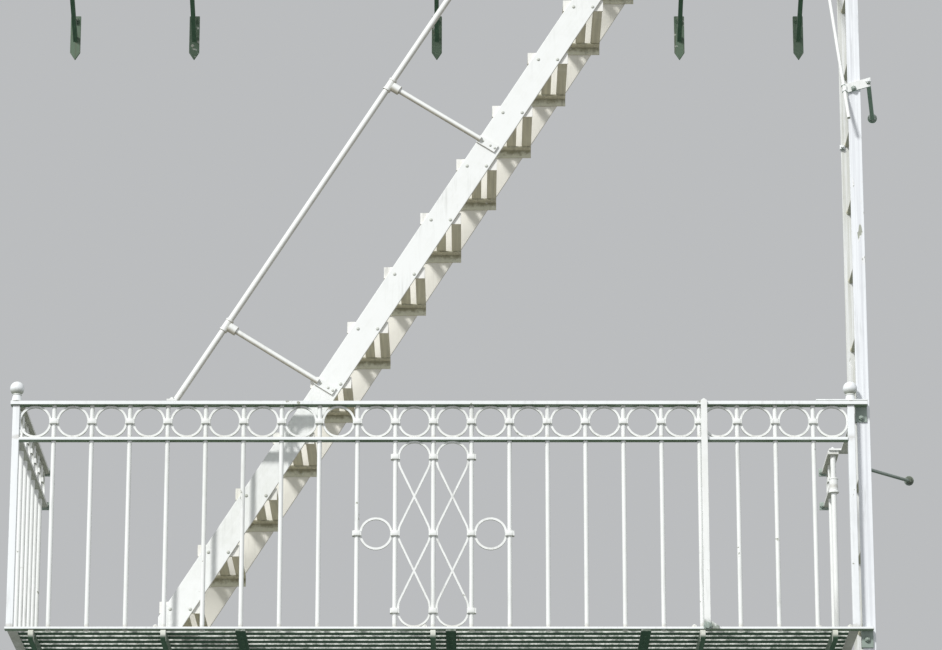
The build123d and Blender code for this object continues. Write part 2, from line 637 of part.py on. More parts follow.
def top_guide():
    """Tilted strap round the ladder's near rail above the balcony, with a strut to the wall."""
    middle = DECK_TOP + TOP_GUIDE_RISE
    half = TOP_GUIDE_HEIGHT / 2
    face = LADDER_Y0 - RUN_GAP
    back = LADDER_Y0 + LADDER_RAIL_THICK + RUN_GAP
    x_left = LADDER_X0 - RUN_GAP
    x_right = LADDER_X1 + RUN_GAP
    head_x = x_left - CLIP_THICK
    tail_x = x_right + TOP_GUIDE_TAIL
    left_z = middle - TOP_GUIDE_TILT / 2
    right_z = middle + TOP_GUIDE_TILT / 2
    outline = [
        (head_x, left_z - half),
        (tail_x, right_z - half),
        (tail_x, right_z + half),
        (head_x, left_z + half),
    ]
    pieces = [plate_xz(outline, face - TOP_GUIDE_THICK, face)]
    tall = half / 2
    for inside, way in ((x_left, -1), (x_right, 1)):
        level = left_z + (inside - head_x) / (tail_x - head_x) * TOP_GUIDE_TILT
        web = sorted((inside, inside + way * CLIP_THICK))
        lip = sorted((inside - way * (CLIP_LIP + RUN_GAP), inside + way * CLIP_THICK))
        pieces.append(block(*web, face, back + CLIP_THICK, level - tall, level + tall))
        pieces.append(block(*lip, back, back + CLIP_THICK, level - tall, level + tall))
    start = (tail_x - STRUT_R, face - TOP_GUIDE_THICK / 2, right_z)
    end = (STRUT_WALL_X, -ANCHOR_THICK / 2, DECK_TOP + STRUT_WALL_RISE)
    pieces.append(rod(start, end, STRUT_R))
    pieces.append(anchor(STRUT_WALL_X, DECK_TOP + STRUT_WALL_RISE))
    return pieces[0].fuse(*pieces[1:])


def anchor(x, z):
    """Round plate on the wall."""
    return rod((x, -ANCHOR_THICK, z), (x, 0, z), ANCHOR_R)


def hanger_rod():
    """Rod from the side of the upper balcony's end arm through an eye on the top guide."""
    arm_side = HALF_LENGTH - END_BRACKET_INSET + ARM_THICK / 2
    arm_middle = UPPER_TOP - SLAT_THICK - ARM_HEIGHT / 2
    upper = Vector(arm_side + 2 * ROD_R, -DEPTH + ROD_BACK, arm_middle)
    eye_z = DECK_TOP + TOP_GUIDE_RISE - TOP_GUIDE_TILT / 2
    strap_x = LADDER_X0 - RUN_GAP - CLIP_THICK
    eye_x = strap_x - ROD_R - ROD_PLAY
    eye_y = LADDER_Y0 - RUN_GAP - TOP_GUIDE_THICK / 2
    through = Vector(eye_x, eye_y, eye_z)
    way = (through - upper).normalized()
    bar = rod(tuple(through + way * ROD_TAIL), tuple(upper), ROD_R)
    half = 1.5 * ROD_R
    eye = block(eye_x - ROD_R, strap_x, eye_y - half, eye_y + half, eye_z - half, eye_z + half)
    pad_y = (upper.Y - 2 * ROD_R, upper.Y + 2 * ROD_R)
    pad = block(arm_side, arm_side + 3 * ROD_R, *pad_y, arm_middle - 2 * ROD_R, arm_middle + 2 * ROD_R)
    return bar.fuse(eye, pad)


def wall_stay():
    """Rod from a drop bar under the far guide to the wall."""
    z = DECK_TOP + RAIL_HEIGHT - STAY_DROP
    start = (LADDER_X1, LADDER_Y1 + STAY_SETBACK, z)
    end_z = DECK_TOP + STAY_WALL_RISE
    bar = rod(start, (STAY_WALL_X, -ANCHOR_THICK / 2, end_z), ROD_R)
    eye_low = (start[0], start[1], z - ROD_R)
    eye_high = (start[0], start[1], DECK_TOP + RAIL_HEIGHT)
    eye = rod(eye_low, eye_high, 1.5 * ROD_R)
    return bar.fuse(eye, anchor(STAY_WALL_X, end_z))


def balcony(name, top, has_well, gap_for_ladder):
    """All nodes of one balcony whose deck lies at the height top."""
    middle = top - SLAT_THICK - ARM_HEIGHT / 2
    plain_end = HALF_LENGTH + TOP_RAIL_WIDTH / 2
    end = GUIDE_END if gap_for_ladder else plain_end
    bottom_end = GUIDE_END if gap_for_ladder else HALF_LENGTH + FLAT_WIDTH / 2
    save(f"{name}_deck_slats", deck_slats(top, has_well))
    save(f"{name}_deck_battens", deck_battens(top, has_well))
    save(f"{name}_bracket_arms", [bracket_arm(x, middle) for x in BRACKETS_X])
    save(f"{name}_bracket_braces", [bracket_brace(x, middle) for x in BRACKETS_X])
    save(f"{name}_top_rail", top_rail(top, end))
    save(f"{name}_second_rail", second_rail(top))
    save(f"{name}_bottom_rail", bottom_rail(top, bottom_end))
    save(f"{name}_balusters", balusters(top))
    save(f"{name}_ring_band", ring_band(top))
    save(f"{name}_centre_ornament", centre_ornament(top))
    save(f"{name}_left_corner_post", [corner_post(-HALF_LENGTH, top)])
    save(f"{name}_right_corner_post", [corner_post(HALF_LENGTH, top)])
    save(f"{name}_joint_bar", [joint_bar(top)])
    closed = (-DEPTH + TOP_RAIL_WIDTH / 2, -LEDGE)
    save(f"{name}_left_railing", [end_railing(-1, top, -DEPTH, POST_SIDE / 2, closed)])
    if gap_for_ladder:
        opened = (ACCESS_Y - TOP_RAIL_WIDTH / 2, ACCESS_Y + PIPE_COLLAR_R)
        save(f"{name}_right_railing", [end_railing(1, top, ACCESS_Y, PIPE_R, opened)])
        save(f"{name}_pipe_post", [pipe_post(top)])
    else:
        save(f"{name}_right_railing", [end_railing(1, top, -DEPTH, POST_SIDE / 2, closed)])


def flight():
    """Stringers, treads, handrail and stanchions."""
    save("outer_stringer", [stringer(OUTER_Y, OUTER_Y + STRINGER_THICK, 1)])
    save("inner_stringer", [stringer(INNER_Y - STRINGER_THICK, INNER_Y, -1)])
    for step in range(TREADS):
        save(f"tread_{step + 1:02d}", [tread(step)])
    save("handrail", [handrail()])
    save("stanchions", [stanchion(step) for step in STANCHION_STEPS])


def drop_ladder():
    """The sliding ladder and what guides and steadies it."""
    save("ladder_near_rail", [ladder_rail(LADDER_Y0)])
    save("ladder_far_rail", [ladder_rail(LADDER_Y1 - LADDER_RAIL_THICK)])
    save("ladder_rungs", ladder_rungs())
    save("near_guides", near_guides())
    save("far_guide", [far_guide()])
    save("top_guide", [top_guide()])
    save("hanger_rod", [hanger_rod()])
    save("wall_stay", [wall_stay()])


os.makedirs("parts", exist_ok=True)
balcony("lower", DECK_TOP, False, True)
balcony("upper", UPPER_TOP, True, False)
flight()
drop_ladder()
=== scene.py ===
"""Looks of the fire escape stair: finishes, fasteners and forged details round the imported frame."""

import json
import logging
import math
from collections.abc import Callable, Iterator, Sequence
from contextlib import contextmanager
from dataclasses import dataclass, replace
from enum import Enum
from typing import Any

import bpy
from mathutils import Matrix, Vector

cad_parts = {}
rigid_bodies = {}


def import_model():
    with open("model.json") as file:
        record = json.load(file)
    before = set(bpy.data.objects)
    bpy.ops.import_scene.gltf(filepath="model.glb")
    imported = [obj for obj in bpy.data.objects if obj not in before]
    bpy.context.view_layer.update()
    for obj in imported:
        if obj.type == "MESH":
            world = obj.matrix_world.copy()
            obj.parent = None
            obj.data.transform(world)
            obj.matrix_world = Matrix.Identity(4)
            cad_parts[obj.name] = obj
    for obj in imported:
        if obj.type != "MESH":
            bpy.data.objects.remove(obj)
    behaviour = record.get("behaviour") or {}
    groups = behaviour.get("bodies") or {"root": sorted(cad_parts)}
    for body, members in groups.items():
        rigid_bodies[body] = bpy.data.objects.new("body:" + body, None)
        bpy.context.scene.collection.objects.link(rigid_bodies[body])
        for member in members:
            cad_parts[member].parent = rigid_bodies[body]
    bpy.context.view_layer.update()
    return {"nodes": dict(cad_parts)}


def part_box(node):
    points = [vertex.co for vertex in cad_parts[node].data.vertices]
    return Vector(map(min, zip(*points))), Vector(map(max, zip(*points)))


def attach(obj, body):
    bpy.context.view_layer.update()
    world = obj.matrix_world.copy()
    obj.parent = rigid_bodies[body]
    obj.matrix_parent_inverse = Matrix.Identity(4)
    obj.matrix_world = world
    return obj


LOG = logging.getLogger("fire_escape_stair")
BALCONIES = ("lower", "upper")
STRUCTURE = "structure"
LADDER = "ladder"
SHARP_CORNER = math.radians(35.0)
BEVELLED_CORNER = math.radians(40.0)
WELD_REACH = 0.00002
EDGE_REACH = 0.004
FAR_FADE = 0.006
FAR_COVER = 0.88
PAINT_RELIEF = 0.0007
BARE_ROUGHNESS = 0.92
MOULDING_SIDES = 24
TEE_SIDES = 20

Colour = tuple[float, float, float]
Point = tuple[float, float, float]
Rings = Sequence[tuple[float, float]]
Spots = Iterator[tuple[Any, ...]]
Parts = Sequence[bpy.types.Object]

LEFT: Point = (-1.0, 0.0, 0.0)
OUTWARD: Point = (0.0, -1.0, 0.0)
INWARD: Point = (0.0, 1.0, 0.0)
UP: Point = (0.0, 0.0, 1.0)
DOWN: Point = (0.0, 0.0, -1.0)


class Slot(Enum):
    """Material slots of the record."""

    RAILING = "railing_paint"
    DECK = "deck_paint"
    BRACKET = "bracket_paint"
    STAIR = "stair_paint"
    LADDER = "ladder_paint"


class Grain(Enum):
    """Way the brush went: turn of the pattern about Y, then its pitch along X, Y and Z."""

    ALONG_WALL = (0.0, (3.0, 120.0, 120.0))
    INTO_WALL = (0.0, (120.0, 3.0, 120.0))
    UPRIGHT = (0.0, (120.0, 120.0, 3.0))
    UP_SLOPE = (math.radians(-57.7), (3.0, 120.0, 120.0))
    DABBED = (0.0, (55.0, 55.0, 55.0))


@dataclass(frozen=True)
class StairLayout:
    """Driving places of the stair in metres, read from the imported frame.

    Attributes:
        half_length: Middle of a corner post from the middle of the balcony.
        front: Y of the front railing's middle.
        end_x: X of the right end railing's middle.
        deck_tops: Height of each deck.
        rail_tops: Height of each top rail.
        second_tops: Height of each rail under the rings.
        arm_levels: Height of the middle of each balcony's arms.
        half_bays: Bays from the middle of the railing to a corner post.
        bracket_bays: Bays from the middle bracket to the next one.
        end_bracket_inset: Corner post to the end bracket.
    """

    half_length: float
    front: float
    end_x: float
    deck_tops: tuple[float, ...]
    rail_tops: tuple[float, ...]
    second_tops: tuple[float, ...]
    arm_levels: tuple[float, ...]
    half_bays: int = 11
    bracket_bays: int = 7
    end_bracket_inset: float = 0.085

    @classmethod
    def from_frame(cls) -> "StairLayout":
        """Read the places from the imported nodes.

        Returns:
            The layout of this stair.
        """
        post_low, post_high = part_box("lower_right_corner_post")
        bars_low, bars_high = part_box("lower_balusters")
        end_low, end_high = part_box("upper_right_railing")
        arms = [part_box(f"{name}_bracket_arms") for name in BALCONIES]

        def tops(part: str) -> tuple[float, ...]:
            """Height of a part's top on each balcony."""
            return tuple(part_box(f"{name}_{part}")[1].z for name in BALCONIES)

        return cls(
            half_length=(post_low.x + post_high.x) / 2,
            front=(bars_low.y + bars_high.y) / 2,
            end_x=(end_low.x + end_high.x) / 2,
            deck_tops=tops("deck_slats"),
            rail_tops=tops("top_rail"),
            second_tops=tops("second_rail"),
            arm_levels=tuple((low.z + high.z) / 2 for low, high in arms),
        )

    @property
    def bay(self) -> float:
        """Distance from one baluster to the next."""
        return self.half_length / self.half_bays

    @property
    def storey(self) -> float:
        """Distance from one deck to the next."""
        return self.deck_tops[1] - self.deck_tops[0]

    @property
    def brackets(self) -> list[float]:
        """X of every bracket."""
        end = self.half_length - self.end_bracket_inset
        inner = self.bracket_bays * self.bay
        return [-end, -inner, 0.0, inner, end]

    @property
    def balusters(self) -> list[float]:
        """X of every front baluster, corner posts left out."""
        return [self.bay * k for k in range(1 - self.half_bays, self.half_bays)]


class Signal:
    """Output of a node, with which patterns are added and multiplied like numbers."""

    def __init__(self, tree: "Tree", socket: bpy.types.NodeSocket) -> None:
        """Keep the output.

        Args:
            tree: Tree that the node belongs to.
            socket: The output.
        """
        self.tree = tree
        self.socket = socket

    def __add__(self, other: "Signal | float") -> "Signal":
        """Sum of the two."""
        return self.tree.work("ADD", self, other)

    def __sub__(self, other: "Signal | float") -> "Signal":
        """Difference of the two."""
        return self.tree.work("SUBTRACT", self, other)

    def __rsub__(self, other: float) -> "Signal":
        """A number less this signal."""
        return self.tree.work("SUBTRACT", other, self)

    def __mul__(self, other: "Signal | float") -> "Signal":
        """Product of the two."""
        return self.tree.work("MULTIPLY", self, other)

    def __truediv__(self, other: "Signal | float") -> "Signal":
        """Quotient of the two."""
        return self.tree.work("DIVIDE", self, other)

    def clamped(self) -> "Signal":
        """Keep the result of a sum between 0 and 1.

        Returns:
            The same signal.
        """
        self.socket.node.use_clamp = True
        return self


class Tree:
    """Adds linked nodes to one node tree."""

    def __init__(self, tree: bpy.types.NodeTree) -> None:
        """Keep the tree.

        Args:
            tree: Node tree of a material, a world or a group.
        """
        self.tree = tree

    def add(self, kind: str, inputs: dict[Any, Any] | None = None, **settings: Any) -> bpy.types.Node:
        """Add a node.

        Args:
            kind: Blender's name for the node's type.
            inputs: Signals, colours or numbers for the node's inputs, by name or number.
            settings: Values of the node's own settings.

        Returns:
            The new node.
        """
        node = self.tree.nodes.new(kind)
        for key, value in settings.items():
            setattr(node, key, value)
        for key, value in (inputs or {}).items():
            socket = node.inputs[key]
            if isinstance(value, Signal):
                self.tree.links.new(value.socket, socket)
            else:
                socket.default_value = (*value, 1.0) if socket.type == "RGBA" else value
        return node

    def out(
        self, output: int | str, kind: str, inputs: dict[Any, Any] | None = None, **settings: Any
    ) -> Signal:
        """Add a node for one of its outputs.

        Args:
            output: Name or number of the output.
            kind: Blender's name for the node's type.
            inputs: Signals, colours or numbers for the node's inputs.
            settings: Values of the node's own settings.

        Returns:
            That output.
        """
        return Signal(self, self.add(kind, inputs, **settings).outputs[output])

    def work(self, operation: str, first: Any, second: Any = 0.0) -> Signal:
        """Work out one value from two.

        Args:
            operation: Name of the Math node's operation.
            first: Signal or number.
            second: Signal or number.

        Returns:
            The result.
        """
        return self.out(0, "ShaderNodeMath", {0: first, 1: second}, operation=operation)

    def band(self, value: Signal, low: float, high: float) -> Signal:
        """Turn a value into a soft mask that is 0 at low and 1 at high.

        Args:
            value: The value.
            low: Value where the mask is 0, which may be above high.
            high: Value where the mask is 1.

        Returns:
            The mask.
        """
        inputs = {"Value": value, "From Min": low, "From Max": high}
        return self.out("Result", "ShaderNodeMapRange", inputs, interpolation_type="SMOOTHSTEP", clamp=True)

    def noise(self, place: Signal, scale: float, detail: float = 3.0, rough: float = 0.55) -> Signal:
        """Cloudy pattern from 0 to 1.

        Args:
            place: Coordinates.
            scale: Patches in a metre.
            detail: Octaves.
            rough: Share of the finer octaves.

        Returns:
            The pattern.
        """
        inputs = {"Vector": place, "Scale": scale, "Detail": detail, "Roughness": rough}
        return self.out("Fac", "ShaderNodeTexNoise", inputs)

    def stretch(self, place: Signal, pitches: Point, turn: Point = (0.0, 0.0, 0.0)) -> Signal:
        """Turn and stretch coordinates.

        Args:
            place: Coordinates.
            pitches: Pitch along each axis.
            turn: Turn about each axis, in radians.

        Returns:
            The new coordinates.
        """
        inputs = {"Vector": place, "Rotation": turn, "Scale": tuple(1.0 / pitch for pitch in pitches)}
        return self.out(0, "ShaderNodeMapping", inputs, vector_type="TEXTURE")

    def mix(self, share: Any, first: Any, second: Any) -> Signal:
        """Blend two colours.

        Args:
            share: Share of the second one.
            first: Colour or signal.
            second: Colour or signal.

        Returns:
            The blended colour.
        """
        inputs = {0: share, 6: first, 7: second}
        return self.out(2, "ShaderNodeMix", inputs, data_type="RGBA", clamp_factor=True)

    def axis(self, vector: Signal, name: str) -> Signal:
        """Take one coordinate.

        Args:
            vector: Coordinates or a direction.
            name: X, Y or Z.

        Returns:
            That coordinate.
        """
        return self.out(name, "ShaderNodeSeparateXYZ", {0: vector})

    def facing_up(self) -> Signal:
        """How far the surface faces up, from -1 to 1.

        Returns:
            The height of its normal.
        """
        return self.axis(self.out("Normal", "ShaderNodeNewGeometry"), "Z")


SOCKETS = {"VECTOR": "NodeSocketVector", "RGBA": "NodeSocketColor", "VALUE": "NodeSocketFloat"}


def socket_kind(value: Any) -> str:
    """Find the kind of group socket that a value needs.

    Args:
        value: Signal, colour or number.

    Returns:
        Blender's name for the kind.
    """
    if isinstance(value, Signal):
        return SOCKETS[value.socket.type]
    return SOCKETS["RGBA" if isinstance(value, tuple) else "VALUE"]


class WearEffects:
    """Node groups that the finishes share, each made when it is first asked for.

    A method that makes a group is given the group's tree and inputs, and returns its outputs by name.
    """

    def __init__(self) -> None:
        """Start with no group made."""
        self.made: dict[str, bpy.types.NodeTree] = {}

    def use(self, tree: Tree, name: str, **inputs: Any) -> dict[str, Signal]:
        """Place a group in a material.

        Args:
            tree: Material's tree.
            name: Name of the method of this class that makes the group.
            inputs: Signals, colours or numbers for the group's inputs.

        Returns:
            The group's outputs by name.
        """
        if name not in self.made:
            self.made[name] = self.group(name, inputs)
        node = tree.add("ShaderNodeGroup", inputs, node_tree=self.made[name])
        return {output.name: Signal(tree, output) for output in node.outputs}

    def group(self, name: str, inputs: dict[str, Any]) -> bpy.types.NodeTree:
        """Make a group by the method of its name.

        Args:
            name: Name of the method and the group.
            inputs: What its inputs are given first, which shows their kinds.

        Returns:
            The new group.
        """
        made = bpy.data.node_groups.new(name, "ShaderNodeTree")
        for label, value in inputs.items():
            made.interface.new_socket(name=label, in_out="INPUT", socket_type=socket_kind(value))
        tree = Tree(made)
        given = tree.add("NodeGroupInput").outputs
        results = getattr(self, name)(tree, **{label: Signal(tree, given[label]) for label in inputs})
        for label, signal in results.items():
            made.interface.new_socket(name=label, in_out="OUTPUT", socket_type=socket_kind(signal))
        tree.add("NodeGroupOutput", results)
        return made

    def brushed_coat(
        self, tree: Tree, place: Signal, strokes: Signal, light: Signal, dark: Signal
    ) -> dict[str, Signal]:
        """Paint laid on by brush: two tones in clouds and strokes, and the strokes' ridges."""
        mottle = tree.noise(place, 28.0, 4.0, 0.6)
        ridges = tree.noise(strokes, 1.0, 3.0, 0.6)
        share = tree.noise(place, 1.7, 4.0) * 0.75 - 0.14 + mottle * 0.45 + ridges * 0.25
        colour = tree.mix(tree.band(share, 0.48, 0.95), light, dark)
        return {"colour": colour, "height": ridges * 0.6 + mottle * 0.4}

    def soffit_stain(self, tree: Tree, place: Signal, amount: Signal) -> dict[str, Signal]:
        """Darker colour on what faces down: painted shade, with a little patchy dirt and rust."""
        down = tree.band(tree.facing_up(), 0.05, -0.75)
        patches = tree.band(tree.noise(place, 7.0, 5.0, 0.6), 0.25, 0.62)
        return {"mask": (down * (patches * 0.15 + 0.88) * amount).clamped()}

    def run_streaks(self, tree: Tree, place: Signal, amount: Signal) -> dict[str, Signal]:
        """Grime that rain has drawn down upright faces, in scattered patches."""
        drawn = tree.stretch(place, (70.0, 70.0, 5.0))
        streaks = tree.band(tree.noise(drawn, 1.0, 4.0, 0.65), 0.5, 0.72)
        patches = tree.band(tree.noise(place, 2.3), 0.42, 0.66)
        upright = tree.band(tree.work("ABSOLUTE", tree.facing_up()), 0.9, 0.5)
        return {"mask": (streaks * patches * upright * amount).clamped()}

    def weather_bands(self, tree: Tree, place: Signal, amount: Signal) -> dict[str, Signal]:
        """Upright bands of thin and thick paint, fading in and out along a tall bar."""
        broad = tree.noise(tree.stretch(place, (95.0, 95.0, 1.1)), 1.0, 2.0, 0.5)
        fine = tree.noise(tree.stretch(place, (260.0, 260.0, 4.0)), 1.0)
        both = tree.band(broad, 0.42, 0.60) * 0.7 + tree.band(fine, 0.45, 0.62) * 0.3
        return {"mask": (both * amount).clamped()}

    def rust_bloom(self, tree: Tree, place: Signal, amount: Signal) -> dict[str, Signal]:
        """Rust in small spots, with a wider orange stain round them."""
        patches = tree.noise(place, 3.1)
        level = tree.noise(place, 45.0, 7.0, 0.7) + (patches - 0.5) * 0.35 + amount * 0.2
        tone = tree.band(tree.noise(place, 130.0, 4.0, 0.7), 0.3, 0.7)
        return {
            "spots": tree.band(level, 0.765, 0.795),
            "stain": tree.band(level, 0.66, 0.83),
            "colour": tree.mix(tone, (0.06, 0.045, 0.03), (0.20, 0.12, 0.065)),
        }

    def paint_chips(self, tree: Tree, place: Signal, amount: Signal, pitch: Signal) -> dict[str, Signal]:
        """Flaked patches with crisp rims and a bare core, and the step of the paint at them."""
        cells = tree.out("Color", "ShaderNodeTexVoronoi", {"Vector": place, "Scale": pitch}, feature="F1")
        level = tree.out(0, "ShaderNodeSeparateColor", {0: cells}) * 0.22
        level += tree.noise(place, 40.0, 3.0, 0.6) * 0.38
        level += tree.noise(place, 4.5, 4.0, 0.6) * 0.62 + amount * 0.25
        mask = tree.band(level, 0.80, 0.815)
        rim = (tree.band(level, 0.775, 0.80) - mask).clamped()
        return {"mask": mask, "core": tree.band(level, 0.86, 0.89), "rim": rim, "height": rim - mask}

    def joint_dirt_and_shade(
        self, tree: Tree, place: Signal, level: Signal, pitch: Signal, reach: Signal
    ) -> dict[str, Signal]:
        """Darkening near levels that lie one pitch apart: dirt and rust where bars meet a rail, painted shade
        under slats.
        """
        half = pitch * 0.5
        inputs = {0: tree.axis(place, "Z") - level, 1: half, 2: half * -1.0}
        apart = tree.work("ABSOLUTE", tree.out(0, "ShaderNodeMath", inputs, operation="WRAP"))
        ragged = apart / reach + tree.noise(place, 55.0, 4.0, 0.65) * 1.6
        return {"mask": tree.band(ragged, 1.55, 0.75)}

    def edge_wear(self, tree: Tree, place: Signal, amount: Signal) -> dict[str, Signal]:
        """Corners rubbed thin, broken up by a fine pattern."""
        rounded = tree.out(0, "ShaderNodeBevel", {"Radius": EDGE_REACH}, samples=4)
        flat = tree.out("Normal", "ShaderNodeNewGeometry")
        alike = tree.out("Value", "ShaderNodeVectorMath", {0: rounded, 1: flat}, operation="DOT_PRODUCT")
        kept = tree.band(tree.noise(place, 45.0, 5.0, 0.7) + amount * 0.3, 0.58, 0.68)
        return {"mask": (tree.band(1.0 - alike, 0.015, 0.14) * kept).clamped()}

    def trodden(self, tree: Tree, place: Signal, amount: Signal) -> dict[str, Signal]:
        """What feet have rubbed bare on faces that point up."""
        rubbed = tree.band(tree.noise(place, 16.0, 8.0, 0.68) + amount * 0.16, 0.66, 0.74)
        return {"mask": tree.band(tree.facing_up(), 0.6, 0.9) * rubbed}


@dataclass(frozen=True)
class PaintFinish:
    """Old brush paint on wrought iron.

    Attributes:
        name: Finish's name.
        slot: Slot of the record that it belongs to.
        light: Colour of the clean coat.
        dark: Colour of its duller patches.
        soffit: Colour of what faces down, painted shade with some dirt.
        soffit_amount: How much of that shows.
        bands: Amount of upright bands.
        band_colour: Their colour.
        grime: Amount of dark streaks.
        grime_colour: Their colour.
        rust: Amount of rust spots, up to 1, and below 0 for next to none.
        rust_stain: Colour of the stain round them.
        chips: Amount of flaked patches, as for rust.
        chip_rim: Colour of their rims.
        undercoat: Colour that shows in them and on rubbed corners.
        chip_pitch: Flakes in a metre.
        chip_height: Pitch of the flakes upward, as a share of chip_pitch.
        edges: Amount of wear on corners, about 0 to 1.
        treading: How far feet have worn what faces up, 0 to 1.
        joints: Lowest of the levels that are darkened, in metres: by dirt where bars meet rails, by painted
            shade under slats.
        joint_pitch: Height from one such level to the next, or 0 for a storey.
        joint_reach: How far the darkening reaches from such a level, in metres.
        joint_share: How thick it lies, 0 to 1.
        joint_colour: Its colour, dirt on the bars and painted shade on the deck and the treads.
        far_from: Y behind which the coat takes the painted shade colour, and the only place where the
            darkening at levels shows, if there is such a colour.
        far_shade_colour: That colour, painted shade for what lies behind the front.
        gloss: Roughness of the coat.
        shine: Strength of its reflections.
    """

    name: str
    slot: Slot
    light: Colour = (0.89, 0.91, 0.90)
    dark: Colour = (0.79, 0.81, 0.78)
    soffit: Colour = (0.24, 0.26, 0.19)
    soffit_amount: float = 0.85
    bands: float = 0.0
    band_colour: Colour = (0.66, 0.68, 0.66)
    grime: float = 0.45
    grime_colour: Colour = (0.13, 0.135, 0.10)
    rust: float = 0.1
    rust_stain: Colour = (0.46, 0.33, 0.20)
    chips: float = 0.0
    chip_rim: Colour = (0.93, 0.93, 0.91)
    undercoat: Colour = (0.40, 0.42, 0.36)
    chip_pitch: float = 90.0
    chip_height: float = 1.0
    edges: float = 0.3
    treading: float = 0.0
    joints: tuple[float, ...] = ()
    joint_pitch: float = 0.0
    joint_reach: float = 0.020
    joint_share: float = 0.35
    joint_colour: Colour = (0.30, 0.26, 0.18)
    far_from: float = 0.0
    far_shade_colour: Colour | None = None
    gloss: float = 0.42
    shine: float = 0.35

    def material(self, grain: Grain, effects: WearEffects, storey: float) -> bpy.types.Material:
        """Build the finish as a material.

        Args:
            grain: Way the brush went.
            effects: Maker of the shared node groups.
            storey: Height from one balcony to the next.

        Returns:
            The new material.
        """
        made = bpy.data.materials.new(f"{self.name}_{grain.name.lower()}")
        made.use_nodes = True
        made.node_tree.nodes.clear()
        tree = Tree(made.node_tree)
        place = tree.out("Object", "ShaderNodeTexCoord")
        turn, pitches = grain.value
        strokes = tree.stretch(place, pitches, (0.0, turn, 0.0))
        coat = effects.use(
            tree, "brushed_coat", place=place, strokes=strokes, light=self.light, dark=self.dark
        )
        under = effects.use(tree, "soffit_stain", place=place, amount=self.soffit_amount)["mask"]
        runs = effects.use(tree, "run_streaks", place=place, amount=self.grime)["mask"]
        rust = effects.use(tree, "rust_bloom", place=place, amount=self.rust)
        drawn = tree.stretch(place, (1.0, 1.0, self.chip_height))
        chips = effects.use(tree, "paint_chips", place=drawn, amount=self.chips, pitch=self.chip_pitch)
        worn = effects.use(tree, "edge_wear", place=place, amount=self.edges)["mask"]

        colour = self.dirty_coat(tree, effects, place, coat["colour"], storey)
        colour = tree.mix(runs, colour, self.grime_colour)
        colour = tree.mix(rust["stain"] * 0.35, colour, self.rust_stain)
        colour = tree.mix(chips["rim"] * 0.5, colour, self.chip_rim)
        colour = tree.mix(chips["mask"], colour, self.undercoat)
        colour = tree.mix(worn * 0.7, colour, self.undercoat)
        # Soffit colour on what faces down: painted shade with some dirt, in streaky tones.
        thin, thick = (tuple(share * tone for tone in self.soffit) for share in (0.6, 1.4))
        colour = tree.mix(under, colour, tree.mix(tree.noise(strokes, 0.7, 4.0, 0.6), thin, thick))
        bare = tree.work("MAXIMUM", rust["spots"], chips["core"])
        if self.treading > 0.0:
            trodden = effects.use(tree, "trodden", place=place, amount=self.treading)["mask"]
            bare = tree.work("MAXIMUM", bare, trodden)

        relief = coat["height"] * 0.45 + chips["height"] - rust["spots"] * 0.6
        bump = {"Height": relief, "Distance": PAINT_RELIEF, "Strength": 0.7}
        inputs = {
            "Base Color": tree.mix(bare, colour, rust["colour"]),
            "Roughness": tree.work("MAXIMUM", bare, under) * (BARE_ROUGHNESS - self.gloss) + self.gloss,
            "Normal": tree.out(0, "ShaderNodeBump", bump),
            "Specular IOR Level": self.shine,
        }
        shader = tree.out(0, "ShaderNodeBsdfPrincipled", inputs)
        tree.add("ShaderNodeOutputMaterial", {"Surface": shader})
        return made

    def dirty_coat(
        self, tree: Tree, effects: WearEffects, place: Signal, colour: Signal, storey: float
    ) -> Signal:
        """Add the bands, the painted shade behind the front and the darkening at levels, where the finish has
        them.

        Args:
            tree: Material's tree.
            effects: Maker of the shared node groups.
            place: Coordinates.
            colour: Colour of the clean coat.
            storey: Height from one balcony to the next.

        Returns:
            The new colour.
        """
        if self.bands > 0.0:
            strips = effects.use(tree, "weather_bands", place=place, amount=self.bands)["mask"]
            colour = tree.mix(strips, colour, self.band_colour)
        far: Signal | float = 1.0
        # Painted shade on what lies behind far_from.
        if self.far_shade_colour is not None:
            far = tree.band(tree.axis(place, "Y"), self.far_from, self.far_from + FAR_FADE)
            colour = tree.mix(far * FAR_COVER, colour, self.far_shade_colour)
        # Darkening at levels: dirt at the bars' joints, painted shade under the deck's and the treads' slats.
        for level in self.joints:
            pitch = self.joint_pitch or storey
            inputs = {"place": place, "level": level, "pitch": pitch, "reach": self.joint_reach}
            near = effects.use(tree, "joint_dirt_and_shade", **inputs)["mask"] * far
            colour = tree.mix(near * self.joint_share, colour, self.joint_colour)
        return colour


@dataclass(frozen=True)
class ShadeAndDirtPlaces:
    """Where dirt gathers and where painted shade begins, in metres.

    Attributes:
        foot: Height over the deck of the dirt at the balusters' feet.
        slats: Depth under the deck's top of the painted shade between slats and battens.
        tread: Depth under a tread's top of the painted shade at its angles.
        guide: Depth behind the front railing where painted shade begins on the guides.
        bracket: The same of the brackets.
        stringer: The same of the stringers, from the outer one's face.
        far_tread: The same of the treads.
    """

    foot: float = 0.004
    slats: float = 0.014
    tread: float = 0.018
    guide: float = 0.030
    bracket: float = 0.010
    stringer: float = 0.003
    far_tread: float = 0.25


